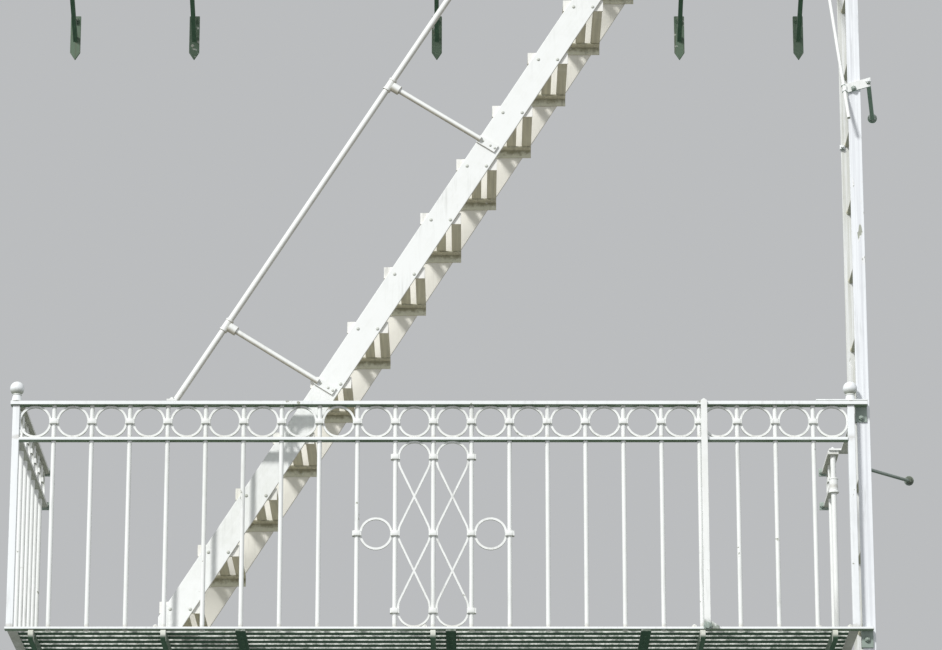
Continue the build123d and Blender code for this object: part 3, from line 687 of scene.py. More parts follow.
class PaintShop:
    """Holds the finishes and puts them on nodes and new pieces."""

    def __init__(self, layout: StairLayout) -> None:
        """Mix the finishes, with the levels of dirt and painted shade taken from the layout.

        Args:
            layout: Places of the stair.
        """
        self.storey = layout.storey
        self.effects = WearEffects()
        self.made: dict[tuple[str, Grain], bpy.types.Material] = {}
        # The places below are where dirt gathers and where painted shade begins.
        flight, dirt = FlightSizes(), ShadeAndDirtPlaces()
        deck, front = layout.deck_tops[0], layout.front
        levels = (deck + dirt.foot, layout.second_tops[0], layout.rail_tops[0] - RailingSizes().rail_thick)
        # Dark green soffit colour: painted shade under the rails.
        self.railing = PaintFinish(
            "railing_paint", Slot.RAILING, light=(0.90, 0.93, 0.94), dark=(0.82, 0.85, 0.85),
            soffit=(0.12, 0.175, 0.11), soffit_amount=1.0, grime=0.2, rust=0.0, chips=-0.05,
        )
        self.bars = PaintFinish("bar_paint", Slot.RAILING, joints=levels, grime=0.35, rust=-0.05, chips=-0.05)
        self.post = replace(self.bars, name="post_paint", light=(0.90, 0.93, 0.95), dark=(0.81, 0.84, 0.86))
        self.joint_bar = replace(
            self.bars, name="joint_bar_paint", joints=(deck,), joint_reach=0.050, joint_share=0.85,
            joint_colour=(0.17, 0.22, 0.17),
        )
        # Dark green soffit and far colour: painted shade on the strut and on what lies behind the front.
        self.guide = replace(
            self.bars, name="guide_paint", joints=(), soffit=(0.09, 0.17, 0.11), far_from=front + dirt.guide,
            far_shade_colour=(0.12, 0.22, 0.15),
        )
        # Near-black green soffit and band between slats and battens: painted shade under the deck.
        self.deck = PaintFinish(
            "deck_paint", Slot.DECK, light=(0.88, 0.89, 0.85), dark=(0.70, 0.71, 0.65),
            soffit=(0.035, 0.075, 0.045), soffit_amount=1.12, shine=0.06, treading=0.7, rust=0.3,
            joints=(deck - dirt.slats,), joint_reach=0.024, joint_share=0.9, joint_colour=(0.06, 0.10, 0.065),
        )
        # Dark green far colour and soffit: painted shade of the deck on the arms and braces behind their
        # noses.
        self.bracket = PaintFinish(
            "bracket_paint", Slot.BRACKET, light=(0.66, 0.68, 0.62), dark=(0.42, 0.44, 0.36),
            soffit=(0.058, 0.110, 0.068), soffit_amount=1.12, shine=0.06, grime=0.9, rust=0.3, chips=0.1,
            far_from=front + dirt.bracket, far_shade_colour=(0.065, 0.125, 0.075),
        )
        # Olive soffit and cream far colour: painted shade on undersides and on the stringers behind the outer
        # one's face.
        self.stair = PaintFinish(
            "stair_paint", Slot.STAIR, soffit=(0.33, 0.30, 0.21), rust=-0.4, chips=-0.3, grime=0.2,
            edges=0.1, far_from=front + flight.stringer_inset + dirt.stringer, far_shade_colour=(0.86, 0.84, 0.765),
        )
        # Olive soffit, darker far colour and the brown band under each tread's slats: painted shade.
        self.tread = PaintFinish(
            "tread_paint", Slot.STAIR, light=(0.90, 0.90, 0.87), dark=(0.78, 0.77, 0.70),
            soffit=(0.49, 0.46, 0.335), soffit_amount=1.0, shine=0.15, treading=1.0, rust=0.1,
            joints=(deck + flight.first_tread - dirt.tread,),
            joint_pitch=(layout.storey - flight.first_tread) / flight.treads,
            joint_reach=0.032, joint_share=0.75, joint_colour=(0.20, 0.18, 0.10),
            far_from=front + dirt.far_tread, far_shade_colour=(0.68, 0.68, 0.54),
        )
        self.rivet = PaintFinish(
            "rivet_paint", Slot.STAIR, light=(0.60, 0.62, 0.58), dark=(0.42, 0.43, 0.38), rust=0.2, edges=0.1
        )
        self.ladder = PaintFinish(
            "ladder_paint", Slot.LADDER, light=(0.90, 0.93, 0.96), dark=(0.83, 0.85, 0.88), bands=0.65,
            band_colour=(0.66, 0.68, 0.72), chips=-0.13, chip_pitch=60.0, chip_height=0.3, rust=-0.2,
            grime=0.3, gloss=0.36,
        )
        # Duller copy of the ladder coat for the far rail: painted shade.
        self.shaded_ladder = PaintFinish(
            "weathered_ladder_paint", Slot.LADDER, light=(0.82, 0.84, 0.84), dark=(0.69, 0.70, 0.67),
            bands=0.8, band_colour=(0.55, 0.56, 0.50), chips=-0.15, chip_pitch=50.0, chip_height=0.3,
            grime=0.5,
        )
        # Dark olive coat: painted shade, for the rungs seen in shadow between the rails, with grime, rust and
        # chips.
        self.rung = PaintFinish(
            "rung_paint", Slot.LADDER, light=(0.56, 0.54, 0.42), dark=(0.36, 0.34, 0.24), grime=0.5,
            rust=0.4, chips=0.15,
        )
        # Dark green-grey coat: grimy paint on clips and bolts, and painted shade on the wall flanges and wall
        # fittings.
        self.fitting = PaintFinish(
            "fitting_paint", Slot.RAILING, light=(0.34, 0.41, 0.37), dark=(0.20, 0.25, 0.21),
            soffit=(0.08, 0.12, 0.08), grime=0.8, rust=0.3, chips=0.05,
        )
        self.iron = PaintFinish(
            "bolt_paint", Slot.RAILING, light=(0.16, 0.19, 0.15), dark=(0.085, 0.10, 0.075),
            soffit=(0.07, 0.08, 0.06), rust=0.5, edges=0.2,
        )

    def coat(self, piece: bpy.types.Object, finish: PaintFinish, grain: Grain) -> None:
        """Put a finish on every slot of a piece.

        Args:
            piece: CAD node or new piece.
            finish: Finish to put on.
            grain: Way the brush went.
        """
        key = (finish.name, grain)
        if key not in self.made:
            self.made[key] = finish.material(grain, self.effects, self.storey)
        if not piece.data.materials:
            piece.data.materials.append(self.made[key])
        for number in range(len(piece.data.materials)):
            piece.data.materials[number] = self.made[key]

    def dress_nodes(self, nodes: dict[str, bpy.types.Object]) -> None:
        """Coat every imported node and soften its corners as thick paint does.

        Args:
            nodes: CAD nodes by name.
        """
        for name, node in sorted(nodes.items()):
            finish, grain, softness = self.choice(name)
            self.coat(node, finish, grain)
            soften(node, softness)
        LOG.info("coated %d packed nodes", len(nodes))

    def choice(self, name: str) -> tuple[PaintFinish, Grain, float]:
        """Pick a node's finish by how its name starts and ends.

        Args:
            name: Node's name.

        Returns:
            The finish, the way of the brush and the roundness of the corners in metres.
        """
        table = (
            ("ladder_far_rail", "", self.shaded_ladder, Grain.UPRIGHT, 0.0020),
            ("ladder_near_rail", "", self.ladder, Grain.UPRIGHT, 0.0020),
            ("ladder_rungs", "", self.rung, Grain.INTO_WALL, 0.0010),
            ("tread_", "", self.tread, Grain.INTO_WALL, 0.0015),
            ("", "stringer", self.stair, Grain.UP_SLOPE, 0.0020),
            ("", "deck_slats", self.deck, Grain.ALONG_WALL, 0.0018),
            ("", "deck_battens", self.deck, Grain.INTO_WALL, 0.0015),
            ("", "bracket_arms", self.bracket, Grain.INTO_WALL, 0.0022),
            ("", "bracket_braces", self.bracket, Grain.INTO_WALL, 0.0022),
            ("top_guide", "", self.guide, Grain.DABBED, 0.0010),
            ("", "joint_bar", self.joint_bar, Grain.UPRIGHT, 0.0020),
            ("near_guides", "", self.fitting, Grain.DABBED, 0.0012),
            ("wall_stay", "", self.fitting, Grain.DABBED, 0.0012),
            ("", "_rail", self.railing, Grain.ALONG_WALL, 0.0020),
            ("", "corner_post", self.post, Grain.UPRIGHT, 0.0020),
            ("", "balusters", self.bars, Grain.UPRIGHT, 0.0020),
            ("", "post", self.bars, Grain.UPRIGHT, 0.0020),
            ("handrail", "", self.stair, Grain.DABBED, 0.0012),
            ("stanchions", "", self.stair, Grain.DABBED, 0.0012),
            ("", "", self.bars, Grain.DABBED, 0.0010),
        )
        return next(row[2:] for row in table if name.startswith(row[0]) and name.endswith(row[1]))


def soften(node: bpy.types.Object, width: float) -> None:
    """Round the corners of a piece with live modifiers, the mesh left as it is.

    Args:
        node: Piece to soften.
        width: Width of the rounding in metres.
    """
    weld = node.modifiers.new("weld", "WELD")
    weld.merge_threshold = WELD_REACH
    bevel = node.modifiers.new("thick_paint", "BEVEL")
    bevel.width = width
    bevel.segments = 2
    bevel.limit_method = "ANGLE"
    bevel.angle_limit = BEVELLED_CORNER
    bevel.use_clamp_overlap = True
    shade = node.modifiers.new("shade", "WEIGHTED_NORMAL")
    shade.weight = 90


def choose(pieces: Sequence[bpy.types.Object] = ()) -> None:
    """Select these pieces alone, the first one as the active one, or none.

    Args:
        pieces: Pieces to choose.
    """
    for piece in bpy.context.view_layer.objects:
        piece.select_set(False)
    for piece in pieces:
        piece.select_set(True)
    if pieces:
        bpy.context.view_layer.objects.active = pieces[0]


@contextmanager
def edit_mode(piece: bpy.types.Object) -> Iterator[None]:
    """Shape one piece in edit mode, with all of it selected.

    Args:
        piece: Piece to shape.

    Yields:
        Nothing, with the piece in edit mode.
    """
    choose([piece])
    bpy.ops.object.mode_set(mode="EDIT")
    bpy.ops.mesh.select_all(action="SELECT")
    yield
    bpy.ops.object.mode_set(mode="OBJECT")


def turned(sides: int, rings: Rings) -> bpy.types.Object:
    """Round or many-sided piece, drawn up from a disc ring by ring along +Z.

    Args:
        sides: Corners of each ring.
        rings: Radius and height of each ring, from the foot to the head.

    Returns:
        The closed piece at the origin.
    """
    choose()
    radius, height = rings[0]
    foot = (0.0, 0.0, height)
    bpy.ops.mesh.primitive_circle_add(vertices=sides, radius=radius, fill_type="NGON", location=foot)
    piece = bpy.context.active_object
    bpy.ops.object.transform_apply(location=True, rotation=True, scale=True)
    with edit_mode(piece):
        for next_radius, next_height in rings[1:]:
            rise = (0.0, 0.0, next_height - height)
            bpy.ops.mesh.extrude_region_move(TRANSFORM_OT_translate={"value": rise})
            share = next_radius / radius
            middle = (0.0, 0.0, next_height)
            bpy.ops.transform.resize(value=(share, share, 1.0), center_override=middle)
            radius, height = next_radius, next_height
        bpy.ops.mesh.select_all(action="SELECT")
        bpy.ops.mesh.normals_make_consistent(inside=False)
    return piece


def plate(size: Point, centre: Point, softness: float) -> bpy.types.Object:
    """Flat bar or plate with rounded corners.

    Args:
        size: Length along each axis.
        centre: Its middle.
        softness: Width of the rounding.

    Returns:
        The finished plate.
    """
    choose()
    bpy.ops.mesh.primitive_cube_add(size=1.0, location=centre)
    piece = bpy.context.active_object
    piece.scale = size
    bpy.ops.object.transform_apply(location=True, rotation=True, scale=True)
    with edit_mode(piece):
        bpy.ops.mesh.bevel(offset=softness, segments=2, affect="EDGES")
    return piece


def aimed(point: Sequence[float], way: Sequence[float], spin: float = 0.0) -> Matrix:
    """Matrix that puts a part modelled along +Z at a point, with +Z turned to a direction.

    Args:
        point: Where the part's foot goes.
        way: Direction that its head points in.
        spin: Turn about its own axis in radians, so that no two stand quite alike.

    Returns:
        The matrix.
    """
    turn = Vector(way).to_track_quat("Z", "Y").to_matrix().to_4x4()
    return Matrix.Translation(point) @ turn @ Matrix.Rotation(spin, 4, "Z")


def joined(name: str, parts: Sequence[bpy.types.Object]) -> bpy.types.Object:
    """Join parts into one piece.

    Args:
        name: Name of the piece.
        parts: Parts to join.

    Returns:
        The joined piece.
    """
    choose(parts)
    if len(parts) > 1:
        bpy.ops.object.join()
    piece = bpy.context.active_object
    piece.name = name
    piece.data.name = name
    return piece


def copies(pattern: bpy.types.Object, places: Sequence[Matrix], kept: bool = False) -> Parts:
    """Copy one part to many places.

    Args:
        pattern: Part to copy.
        places: Matrix of each copy.
        kept: Whether the part is needed again.

    Returns:
        The copies.
    """
    made = []
    for place in places:
        copy = pattern.copy()
        copy.data = pattern.data.copy()
        copy.data.transform(place)
        bpy.context.scene.collection.objects.link(copy)
        made.append(copy)
    if not kept:
        bpy.data.objects.remove(pattern)
    return made


@dataclass(frozen=True)
class Fastener:
    """Small fastener, modelled along +Z with its foot at the origin.

    Attributes:
        radius: Its radius in metres.
        parts: Sides of each part, and its rings as shares of the radius with heights in metres.
    """

    radius: float
    parts: tuple[tuple[int, Rings], ...]

    def model(self, name: str) -> bpy.types.Object:
        """Model the fastener once, to be copied.

        Args:
            name: Its name.

        Returns:
            The pattern.
        """
        made = []
        for sides, rings in self.parts:
            made.append(turned(sides, [(share * self.radius, height) for share, height in rings]))
        return joined(name, made)


def dome(sides: int, height: float) -> tuple[tuple[int, Rings]]:
    """Snap head of a rivet, its foot sunk a little into the iron.

    Args:
        sides: Corners of its outline.
        height: How far it stands out.

    Returns:
        Its one part.
    """
    curve = [(math.cos(angle), height * math.sin(angle)) for angle in (0.45, 0.85, 1.2)]
    return ((sides, [(0.97, -0.0006), (1.0, 0.0006), *curve, (0.12, height)]),)


FASTENERS = {
    "rivet": Fastener(0.0070, dome(12, 0.0031)),
    "palm_rivet": Fastener(0.0055, dome(10, 0.0027)),
    "deck_rivet": Fastener(0.0070, dome(9, 0.0040)),
    "peen": Fastener(
        0.0125, ((10, ((0.95, -0.0006), (1.0, 0.0012), (0.93, 0.0030), (0.62, 0.0041), (0.2, 0.0044))),)
    ),
    "nut": Fastener(
        0.0130,
        (
            (14, ((1.32, -0.0006), (1.36, 0.0008), (1.26, 0.0026), (1.0, 0.0029))),
            (6, ((1.0, 0.0024), (1.0, 0.0115), (0.9, 0.0132), (0.5, 0.0134))),
            (10, ((0.5, 0.0125), (0.5, 0.0195), (0.38, 0.0215), (0.1, 0.0218))),
        ),
    ),
    "bolt": Fastener(
        0.0130,
        (
            (14, ((1.28, -0.0006), (1.3, 0.0010), (1.2, 0.0024), (1.0, 0.0026))),
            (6, ((1.0, 0.0022), (1.0, 0.0085), (0.88, 0.0104), (0.3, 0.0108))),
        ),
    ),
    "square_nut": Fastener(
        0.0143,
        (
            (4, ((1.0, -0.0006), (1.0, 0.0085), (0.86, 0.0102), (0.4, 0.0104))),
            (10, ((0.45, 0.0095), (0.45, 0.0165), (0.3, 0.0182), (0.1, 0.0184))),
        ),
    ),
    "low_nut": Fastener(
        0.01105,
        (
            (6, ((1.0, -0.0006), (1.02, 0.0040), (0.97, 0.0075), (0.80, 0.0088))),
            (8, ((0.52, 0.0080), (0.50, 0.0118), (0.36, 0.0128), (0.1, 0.0130))),
        ),
    ),
    "rod_nut": Fastener(
        0.0156,
        (
            (14, ((1.2, -0.0006), (1.22, 0.0008), (1.12, 0.0026), (1.0, 0.0029))),
            (6, ((1.0, 0.0024), (1.0, 0.0125), (0.88, 0.0140), (0.3, 0.0142))),
        ),
    ),
    "shoulder": Fastener(0.0112, ((12, ((0.92, -0.0004), (1.0, 0.0006), (1.0, 0.0046), (0.78, 0.0064))),)),
}


@dataclass(frozen=True)
class Piece:
    """Marks a method of a sub-assembly that makes one new piece, named after the method.

    Attributes:
        finish: Name of its finish in the paint shop.
        pattern: Name of the fastener that goes on every spot that the method lists. Without it
            the method gives the parts themselves.
        grain: Way the brush went.
        body: CAD body that the piece moves with.
    """

    finish: str
    pattern: str = ""
    grain: Grain = Grain.DABBED
    body: str = STRUCTURE

    def __call__(self, method: Callable[..., Any]) -> Callable[..., Any]:
        """Mark the method.

        Args:
            method: Method that lists the spots or makes the parts.

        Returns:
            The same method.
        """
        method.piece = self
        return method


class Assembly:
    """What every sub-assembly shares."""

    def __init__(
        self,
        layout: StairLayout,
        shop: PaintShop,
        patterns: dict[str, bpy.types.Object],
        storey: int | None = None,
    ) -> None:
        """Keep what the sub-assembly is built with.

        Args:
            layout: Places of the stair.
            shop: Finishes.
            patterns: Fasteners to copy, by name.
            storey: 0 for the lower balcony, 1 for the upper one, None for what joins the two.
        """
        self.layout = layout
        self.shop = shop
        self.patterns = patterns
        self.storey = storey or 0
        self.name = BALCONIES[self.storey]
        self.prefix = "" if storey is None else f"{self.name}_"
        self.deck = layout.deck_tops[self.storey]
        self.top = layout.rail_tops[self.storey]
        self.second = layout.second_tops[self.storey]
        self.level = layout.arm_levels[self.storey]

    def build(self) -> None:
        """Make the piece of every marked method, in the order in which they stand."""
        for name, method in vars(type(self)).items():
            if hasattr(method, "piece"):
                self.make(self.prefix + name, method.piece, method(self))

    def make(self, name: str, recipe: Piece, content: Spots | Parts) -> None:
        """Join, shade and coat a new piece and make it ride on its body.

        Args:
            name: Name of the piece.
            recipe: How it is made.
            content: Spots of its fasteners, or its parts.
        """
        if recipe.pattern:
            places = [aimed(*spot) for spot in content]
            content = copies(self.patterns[recipe.pattern], places, kept=True)
        piece, body = joined(name, content), recipe.body
        choose([piece])
        bpy.ops.object.shade_smooth_by_angle(angle=SHARP_CORNER)
        finish = getattr(self.shop, recipe.finish)
        self.shop.coat(piece, finish, recipe.grain)
        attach(piece, body)
        LOG.info("%s: %d faces on %s", name, len(piece.data.polygons), body)


@dataclass(frozen=True)
class DeckSizes:
    """Sizes of the decks and brackets, in metres."""

    slats: int = 14
    slat_width: float = 0.038
    slat_thick: float = 0.010
    ledge: float = 1.031
    batten_thick: float = 0.008
    battens: tuple[tuple[float, ...], ...] = ((-0.750, 0.070, 0.830), (-0.750, 0.080))
    well: tuple[float, float] = (0.100, 0.960)
    well_back: float = -0.430
    arm_half_height: float = 0.022
    plate_thick: float = 0.010
    plate_bolt: float = 0.048
    pad_thick: float = 0.008
    pad_bolt_y: float = -0.733
    brace_drop: float = 0.461
    foot_thick: float = 0.008
    foot_bolt: float = 0.092

    @property
    def slat_lines(self) -> list[float]:
        """Y of every slat's middle."""
        gap = (self.ledge - self.slats * self.slat_width) / (self.slats + 1)
        first = gap + self.slat_width / 2
        return [-(first + k * (gap + self.slat_width)) for k in range(self.slats)]


class Deck(Assembly):
    """Rivets and bolts of one balcony's deck and brackets."""

    sizes = DeckSizes()

    def crossings(self, bars: Sequence[float], height: float, way: Point) -> Spots:
        """List where slats cross bars, outside the stairwell.

        Args:
            bars: X of each bar.
            height: Height of the spots.
            way: Way that they face.

        Yields:
            Each spot.
        """
        low, high = self.sizes.well
        for y in self.sizes.slat_lines:
            for x in bars:
                if self.storey == 0 or not (low < x < high and y < self.sizes.well_back):
                    yield (x, y, height), way

    @Piece("deck", "deck_rivet")
    def slat_rivets(self) -> Spots:
        """Heads on top of the slats."""
        return self.crossings((*self.layout.brackets, *self.sizes.battens[self.storey]), self.deck, UP)

    @Piece("bracket", "deck_rivet")
    def batten_rivets(self) -> Spots:
        """Tails under the battens."""
        under = self.deck - self.sizes.slat_thick - self.sizes.batten_thick
        return self.crossings(self.sizes.battens[self.storey], under, DOWN)

    @Piece("bracket", "nut")
    def wall_nuts(self) -> Spots:
        """Nuts on the arms' wall plates and the braces' pointed feet."""
        sizes = self.sizes
        low = self.level - sizes.brace_drop + sizes.foot_bolt
        for number, x in enumerate(self.layout.brackets):
            for step in (-1, 1):
                height = self.level + step * sizes.plate_bolt
                yield (x, -sizes.plate_thick, height), OUTWARD, 0.3 * number + step
            yield (x, -sizes.foot_thick, low), OUTWARD, 0.5 * number

    @Piece("bracket", "deck_rivet")
    def pad_rivets(self) -> Spots:
        """Rivets under the front ends of the braces' pads."""
        under = self.level - self.sizes.arm_half_height - self.sizes.pad_thick
        for x in self.layout.brackets:
            yield (x, self.sizes.pad_bolt_y, under), DOWN


@dataclass(frozen=True)
class RailingSizes:
    """Sizes of the railings, in metres."""

    rail_thick: float = 0.015
    second_thick: float = 0.013
    flat_thick: float = 0.010
    top_half: float = 0.0225
    arm_clear: float = 0.03
    joint_x: float = 1.0685
    joint_thick: float = 0.010
    joint_bolt_drop: float = 0.001
    cone_r: float = 0.022
    cone_top_r: float = 0.016
    cone: float = 0.032
    bead: float = 0.003
    neck_bead: float = 0.0028
    knot: Point = (0.027, 0.0305, 0.0212)
    knot_softness: float = 0.0022
    ornament_levels: tuple[float, ...] = (0.06585, 0.3765, 0.68715)
    seat_nuts: tuple[float, ...] = (-1.081, -0.031, 1.019, 1.504)
    post_nut: float = 0.024
    lap_start: float = 1.512
    lap_thick: float = 0.007
    lap_softness: float = 0.002
    flange: Point = (0.070, 0.006, 0.034)
    flange_softness: float = 0.0015
    flange_nut: float = 0.023


class Railing(Assembly):
    """Forged ends, clasp knots, finial mouldings, strap, wall plates and bolts of one railing."""

    sizes = RailingSizes()

    @property
    def flanges(self) -> list[tuple[float, float]]:
        """X and Z of each plate that holds an end railing's rail to the wall."""
        levels = (self.top - self.sizes.rail_thick / 2, self.second - self.sizes.second_thick / 2)
        return [(x, z) for x in (-self.layout.end_x, self.layout.end_x) for z in levels]

    @Piece("bars", "peen")
    def bar_ends(self) -> Spots:
        """Hammered ends of the balusters on the top rail and under the bottom rail."""
        front, under = self.layout.front, self.deck - self.sizes.flat_thick
        for number, x in enumerate(self.layout.balusters):
            yield (x, front, self.top), UP, number
            if min(abs(x - arm) for arm in self.layout.brackets) > self.sizes.arm_clear:
                yield (x, front, under), DOWN, number

    @Piece("bars")
    def collar_knots(self) -> Parts:
        """Lumps in the middle of the rings' and the centre ornament's collars, closed hot."""
        bay, sizes = self.layout.bay, self.sizes
        ring_level = (self.top - sizes.rail_thick + self.second) / 2
        low, middle, high = (self.deck + level for level in sizes.ornament_levels)
        spots = [(x, ring_level) for x in self.layout.balusters]
        spots += [(x, z) for x in (-bay, 0.0, bay) for z in (low, middle, high)]
        spots += [(x, middle) for x in (-2 * bay, 2 * bay)]
        knot = plate(sizes.knot, (0.0, 0.0, 0.0), sizes.knot_softness)
        return copies(knot, [Matrix.Translation((x, self.layout.front, z)) for x, z in spots])

    @Piece("bars")
    def finial_mouldings(self) -> Parts:
        """Bead round each finial's foot and a ring where the ball sits on its cone."""
        sizes = self.sizes
        foot, head, base = sizes.cone_r, sizes.cone_top_r, sizes.cone
        wide, full = foot + sizes.bead, head + sizes.neck_bead
        bead = [(foot, -0.0004), (wide, 0.0008), (wide, 0.0036), (foot * 0.9, 0.0056)]
        neck = [(head, -0.0055), (full, -0.0038), (full, -0.0012), (head * 0.9, 0.0008)]
        rings = (bead, [(r, z + base) for r, z in neck])
        pattern = joined("finial", [turned(MOULDING_SIDES, ring) for ring in rings])
        ends = (-self.layout.half_length, self.layout.half_length)
        return copies(pattern, [Matrix.Translation((x, self.layout.front, self.top)) for x in ends])

    @Piece("fitting", "bolt")
    def joint_bolt(self) -> Spots:
        """Bolt at the foot of the bar that covers the meeting of the two panels."""
        sizes = self.sizes
        face = self.layout.front - sizes.top_half - sizes.joint_thick
        yield (sizes.joint_x, face, self.deck - sizes.joint_bolt_drop), OUTWARD, 0.3

    @Piece("bars", "low_nut")
    def seat_nuts(self) -> Spots:
        """Nuts on the bottom rail beside the arms and at the right post's foot."""
        for x in (*self.sizes.seat_nuts, self.layout.half_length - self.sizes.post_nut):
            yield (x, self.layout.front, self.deck), UP, 7 * x

    @Piece("railing", grain=Grain.ALONG_WALL)
    def lap(self) -> Parts:
        """Strap riveted on the end of the top rail, under the right finial."""
        start, thick = self.sizes.lap_start, self.sizes.lap_thick
        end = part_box(f"{self.name}_top_rail")[1].x
        centre = ((start + end) / 2, self.layout.front, self.top + thick / 2)
        return [plate((end - start, 2 * self.sizes.top_half, thick), centre, self.sizes.lap_softness)]

    @Piece("fitting")
    def wall_flanges(self) -> Parts:
        """Plates that hold the end railings' rails to the wall."""
        size, softness = self.sizes.flange, self.sizes.flange_softness
        # The dark fitting coat on these plates is painted shade against the wall.
        return [plate(size, (x, -size[1] / 2, z), softness) for x, z in self.flanges]

    @Piece("fitting", "low_nut")
    def flange_nuts(self) -> Spots:
        """Two nuts on each of those plates."""
        for x, z in self.flanges:
            for step in (-1, 1):
                yield (x + step * self.sizes.flange_nut, -self.sizes.flange[1], z), OUTWARD, z


@dataclass(frozen=True)
class FlightSizes:
    """Sizes of the flight, in metres."""

    treads: int = 14
    first_tread: float = 0.120
    going: float = 0.1452
    nose: float = 0.0435
    landing_x: float = 0.960
    rivet_drop: float = 0.0325
    rivet_gap: float = 0.078
    tread_depth: float = 0.164
    slats: int = 3
    slat_width: float = 0.039
    slat_thick: float = 0.010
    angle_thick: float = 0.006
    angle_mid: float = 0.026
    stringer_thick: float = 0.010
    stair_width: float = 0.508
    stringer_inset: float = 0.060
    clip_thick: float = 0.006
    clip_width: float = 0.040
    clip_nuts: tuple[float, float] = (0.038, 0.118)
    handrail_rise: float = 0.449
    handrail_y: float = -1.001
    tee_half: float = 0.028
    tee_r: float = 0.0150
    tee_rim_r: float = 0.0168
    lug_thick: float = 0.008
    stanchion_steps: tuple[float, ...] = (4.0, 8.45, 13.0)
    palm_thick: float = 0.008
    palm_rivets: tuple[float, ...] = (0.002, -0.034, -0.055)


class Flight(Assembly):
    """Rivets of the treads and stanchions, tees, and nuts at the feet and the handrail's ends."""

    sizes = FlightSizes()

    def __init__(self, *shared: Any) -> None:
        """Work out the rivet line, the stringers' faces and the slope.

        Args:
            shared: Layout, finishes and fasteners, as for every sub-assembly.
        """
        super().__init__(*shared)
        sizes = self.sizes
        self.rise = (self.layout.storey - sizes.first_tread) / sizes.treads
        self.slope = math.atan2(self.rise, sizes.going)
        self.first_x = sizes.landing_x + sizes.nose - sizes.treads * sizes.going
        self.first_z = self.deck + sizes.first_tread - sizes.rivet_drop
        self.outer = self.layout.front + sizes.stringer_inset
        self.inner = self.outer + 2 * sizes.stringer_thick + sizes.stair_width

    def line(self, step: float) -> tuple[float, float]:
        """Place on the rivet line.

        Args:
            step: Treads above the first one.

        Returns:
            X and Z of that place.
        """
        return self.first_x + step * self.sizes.going, self.first_z + step * self.rise

    def slat_ends(self, height: float, way: Point) -> Spots:
        """List where the treads' slats lie on their end angles.

        Args:
            height: Height over the rivet line.
            way: Way that the spots face.

        Yields:
            Each spot.
        """
        sizes = self.sizes
        pitch = (sizes.tread_depth - sizes.slat_width) / (sizes.slats - 1)
        inset = sizes.stringer_thick + sizes.angle_mid
        first = sizes.slat_width / 2 - sizes.nose
        for step in range(sizes.treads):
            x, z = self.line(step)
            for slat in range(sizes.slats):
                for y in (self.outer + inset, self.inner - inset):
                    yield (x + first + slat * pitch, y, z + height), way, step

    @Piece("rivet", "rivet")
    def stringer_rivets(self) -> Spots:
        """Two rivets a tread through each stringer."""
        for step in range(self.sizes.treads):
            x, z = self.line(step)
            for shift in (0.0, self.sizes.rivet_gap):
                yield (x + shift, self.outer, z), OUTWARD, step
                yield (x + shift, self.inner, z), INWARD, step

    @Piece("tread", "deck_rivet")
    def tread_rivet_heads(self) -> Spots:
        """Heads on top of the treads' slats."""
        return self.slat_ends(self.sizes.rivet_drop, UP)

    @Piece("tread", "deck_rivet")
    def tread_rivet_tails(self) -> Spots:
        """Tails under the treads' end angles."""
        return self.slat_ends(self.sizes.rivet_drop - self.sizes.slat_thick - self.sizes.angle_thick, DOWN)

    @Piece("rivet", "palm_rivet")
    def stanchion_rivets(self) -> Spots:
        """Rivets through each stanchion's flattened foot."""
        across = Vector((-math.sin(self.slope), 0.0, math.cos(self.slope)))
        for step in self.sizes.stanchion_steps:
            x, z = self.line(step)
            root = Vector((x, self.outer - self.sizes.palm_thick, z))
            for shift in self.sizes.palm_rivets:
                yield root + across * shift, OUTWARD

    @Piece("stair")
    def handrail_tees(self) -> Parts:
        """Rimmed pipe tees that join the stanchions to the handrail."""
        sizes = self.sizes
        along = (math.cos(self.slope), 0.0, math.sin(self.slope))
        half, body, rim = sizes.tee_half, sizes.tee_r, sizes.tee_rim_r
        side = [(body, half - 0.0105), (rim, half - 0.0085), (rim, half - 0.0015), (body * 0.9, half)]
        places = []
        for step in sizes.stanchion_steps:
            x, z = self.line(step)
            x -= sizes.handrail_rise * along[2]
            z += sizes.handrail_rise * along[0]
            places.append(aimed((x, sizes.handrail_y, z), along))
        return copies(turned(TEE_SIDES, [(r, -z) for r, z in reversed(side)] + side), places)

    @Piece("stair", "low_nut")
    def heel_nuts(self) -> Spots:
        """Nuts on the angle clips at the stringers' feet."""
        sizes = self.sizes
        inset = sizes.stringer_thick + sizes.clip_width / 2
        for name, y in (("outer_stringer", self.outer + inset), ("inner_stringer", self.inner - inset)):
            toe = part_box(name)[0].x
            for shift in sizes.clip_nuts:
                yield (toe + shift, y, self.deck + sizes.clip_thick), UP, shift * 20

    @Piece("bars", "low_nut")
    def lug_nuts(self) -> Spots:
        """Nuts on the handrail's lugs, over both top rails."""
        sizes = self.sizes
        lift = sizes.handrail_rise / math.cos(self.slope)
        for top in self.layout.rail_tops:
            height = top + sizes.lug_thick / 2 - lift
            x = self.first_x + (height - self.first_z) * sizes.going / self.rise
            yield (x, self.layout.front, top + sizes.lug_thick), UP, 0.4


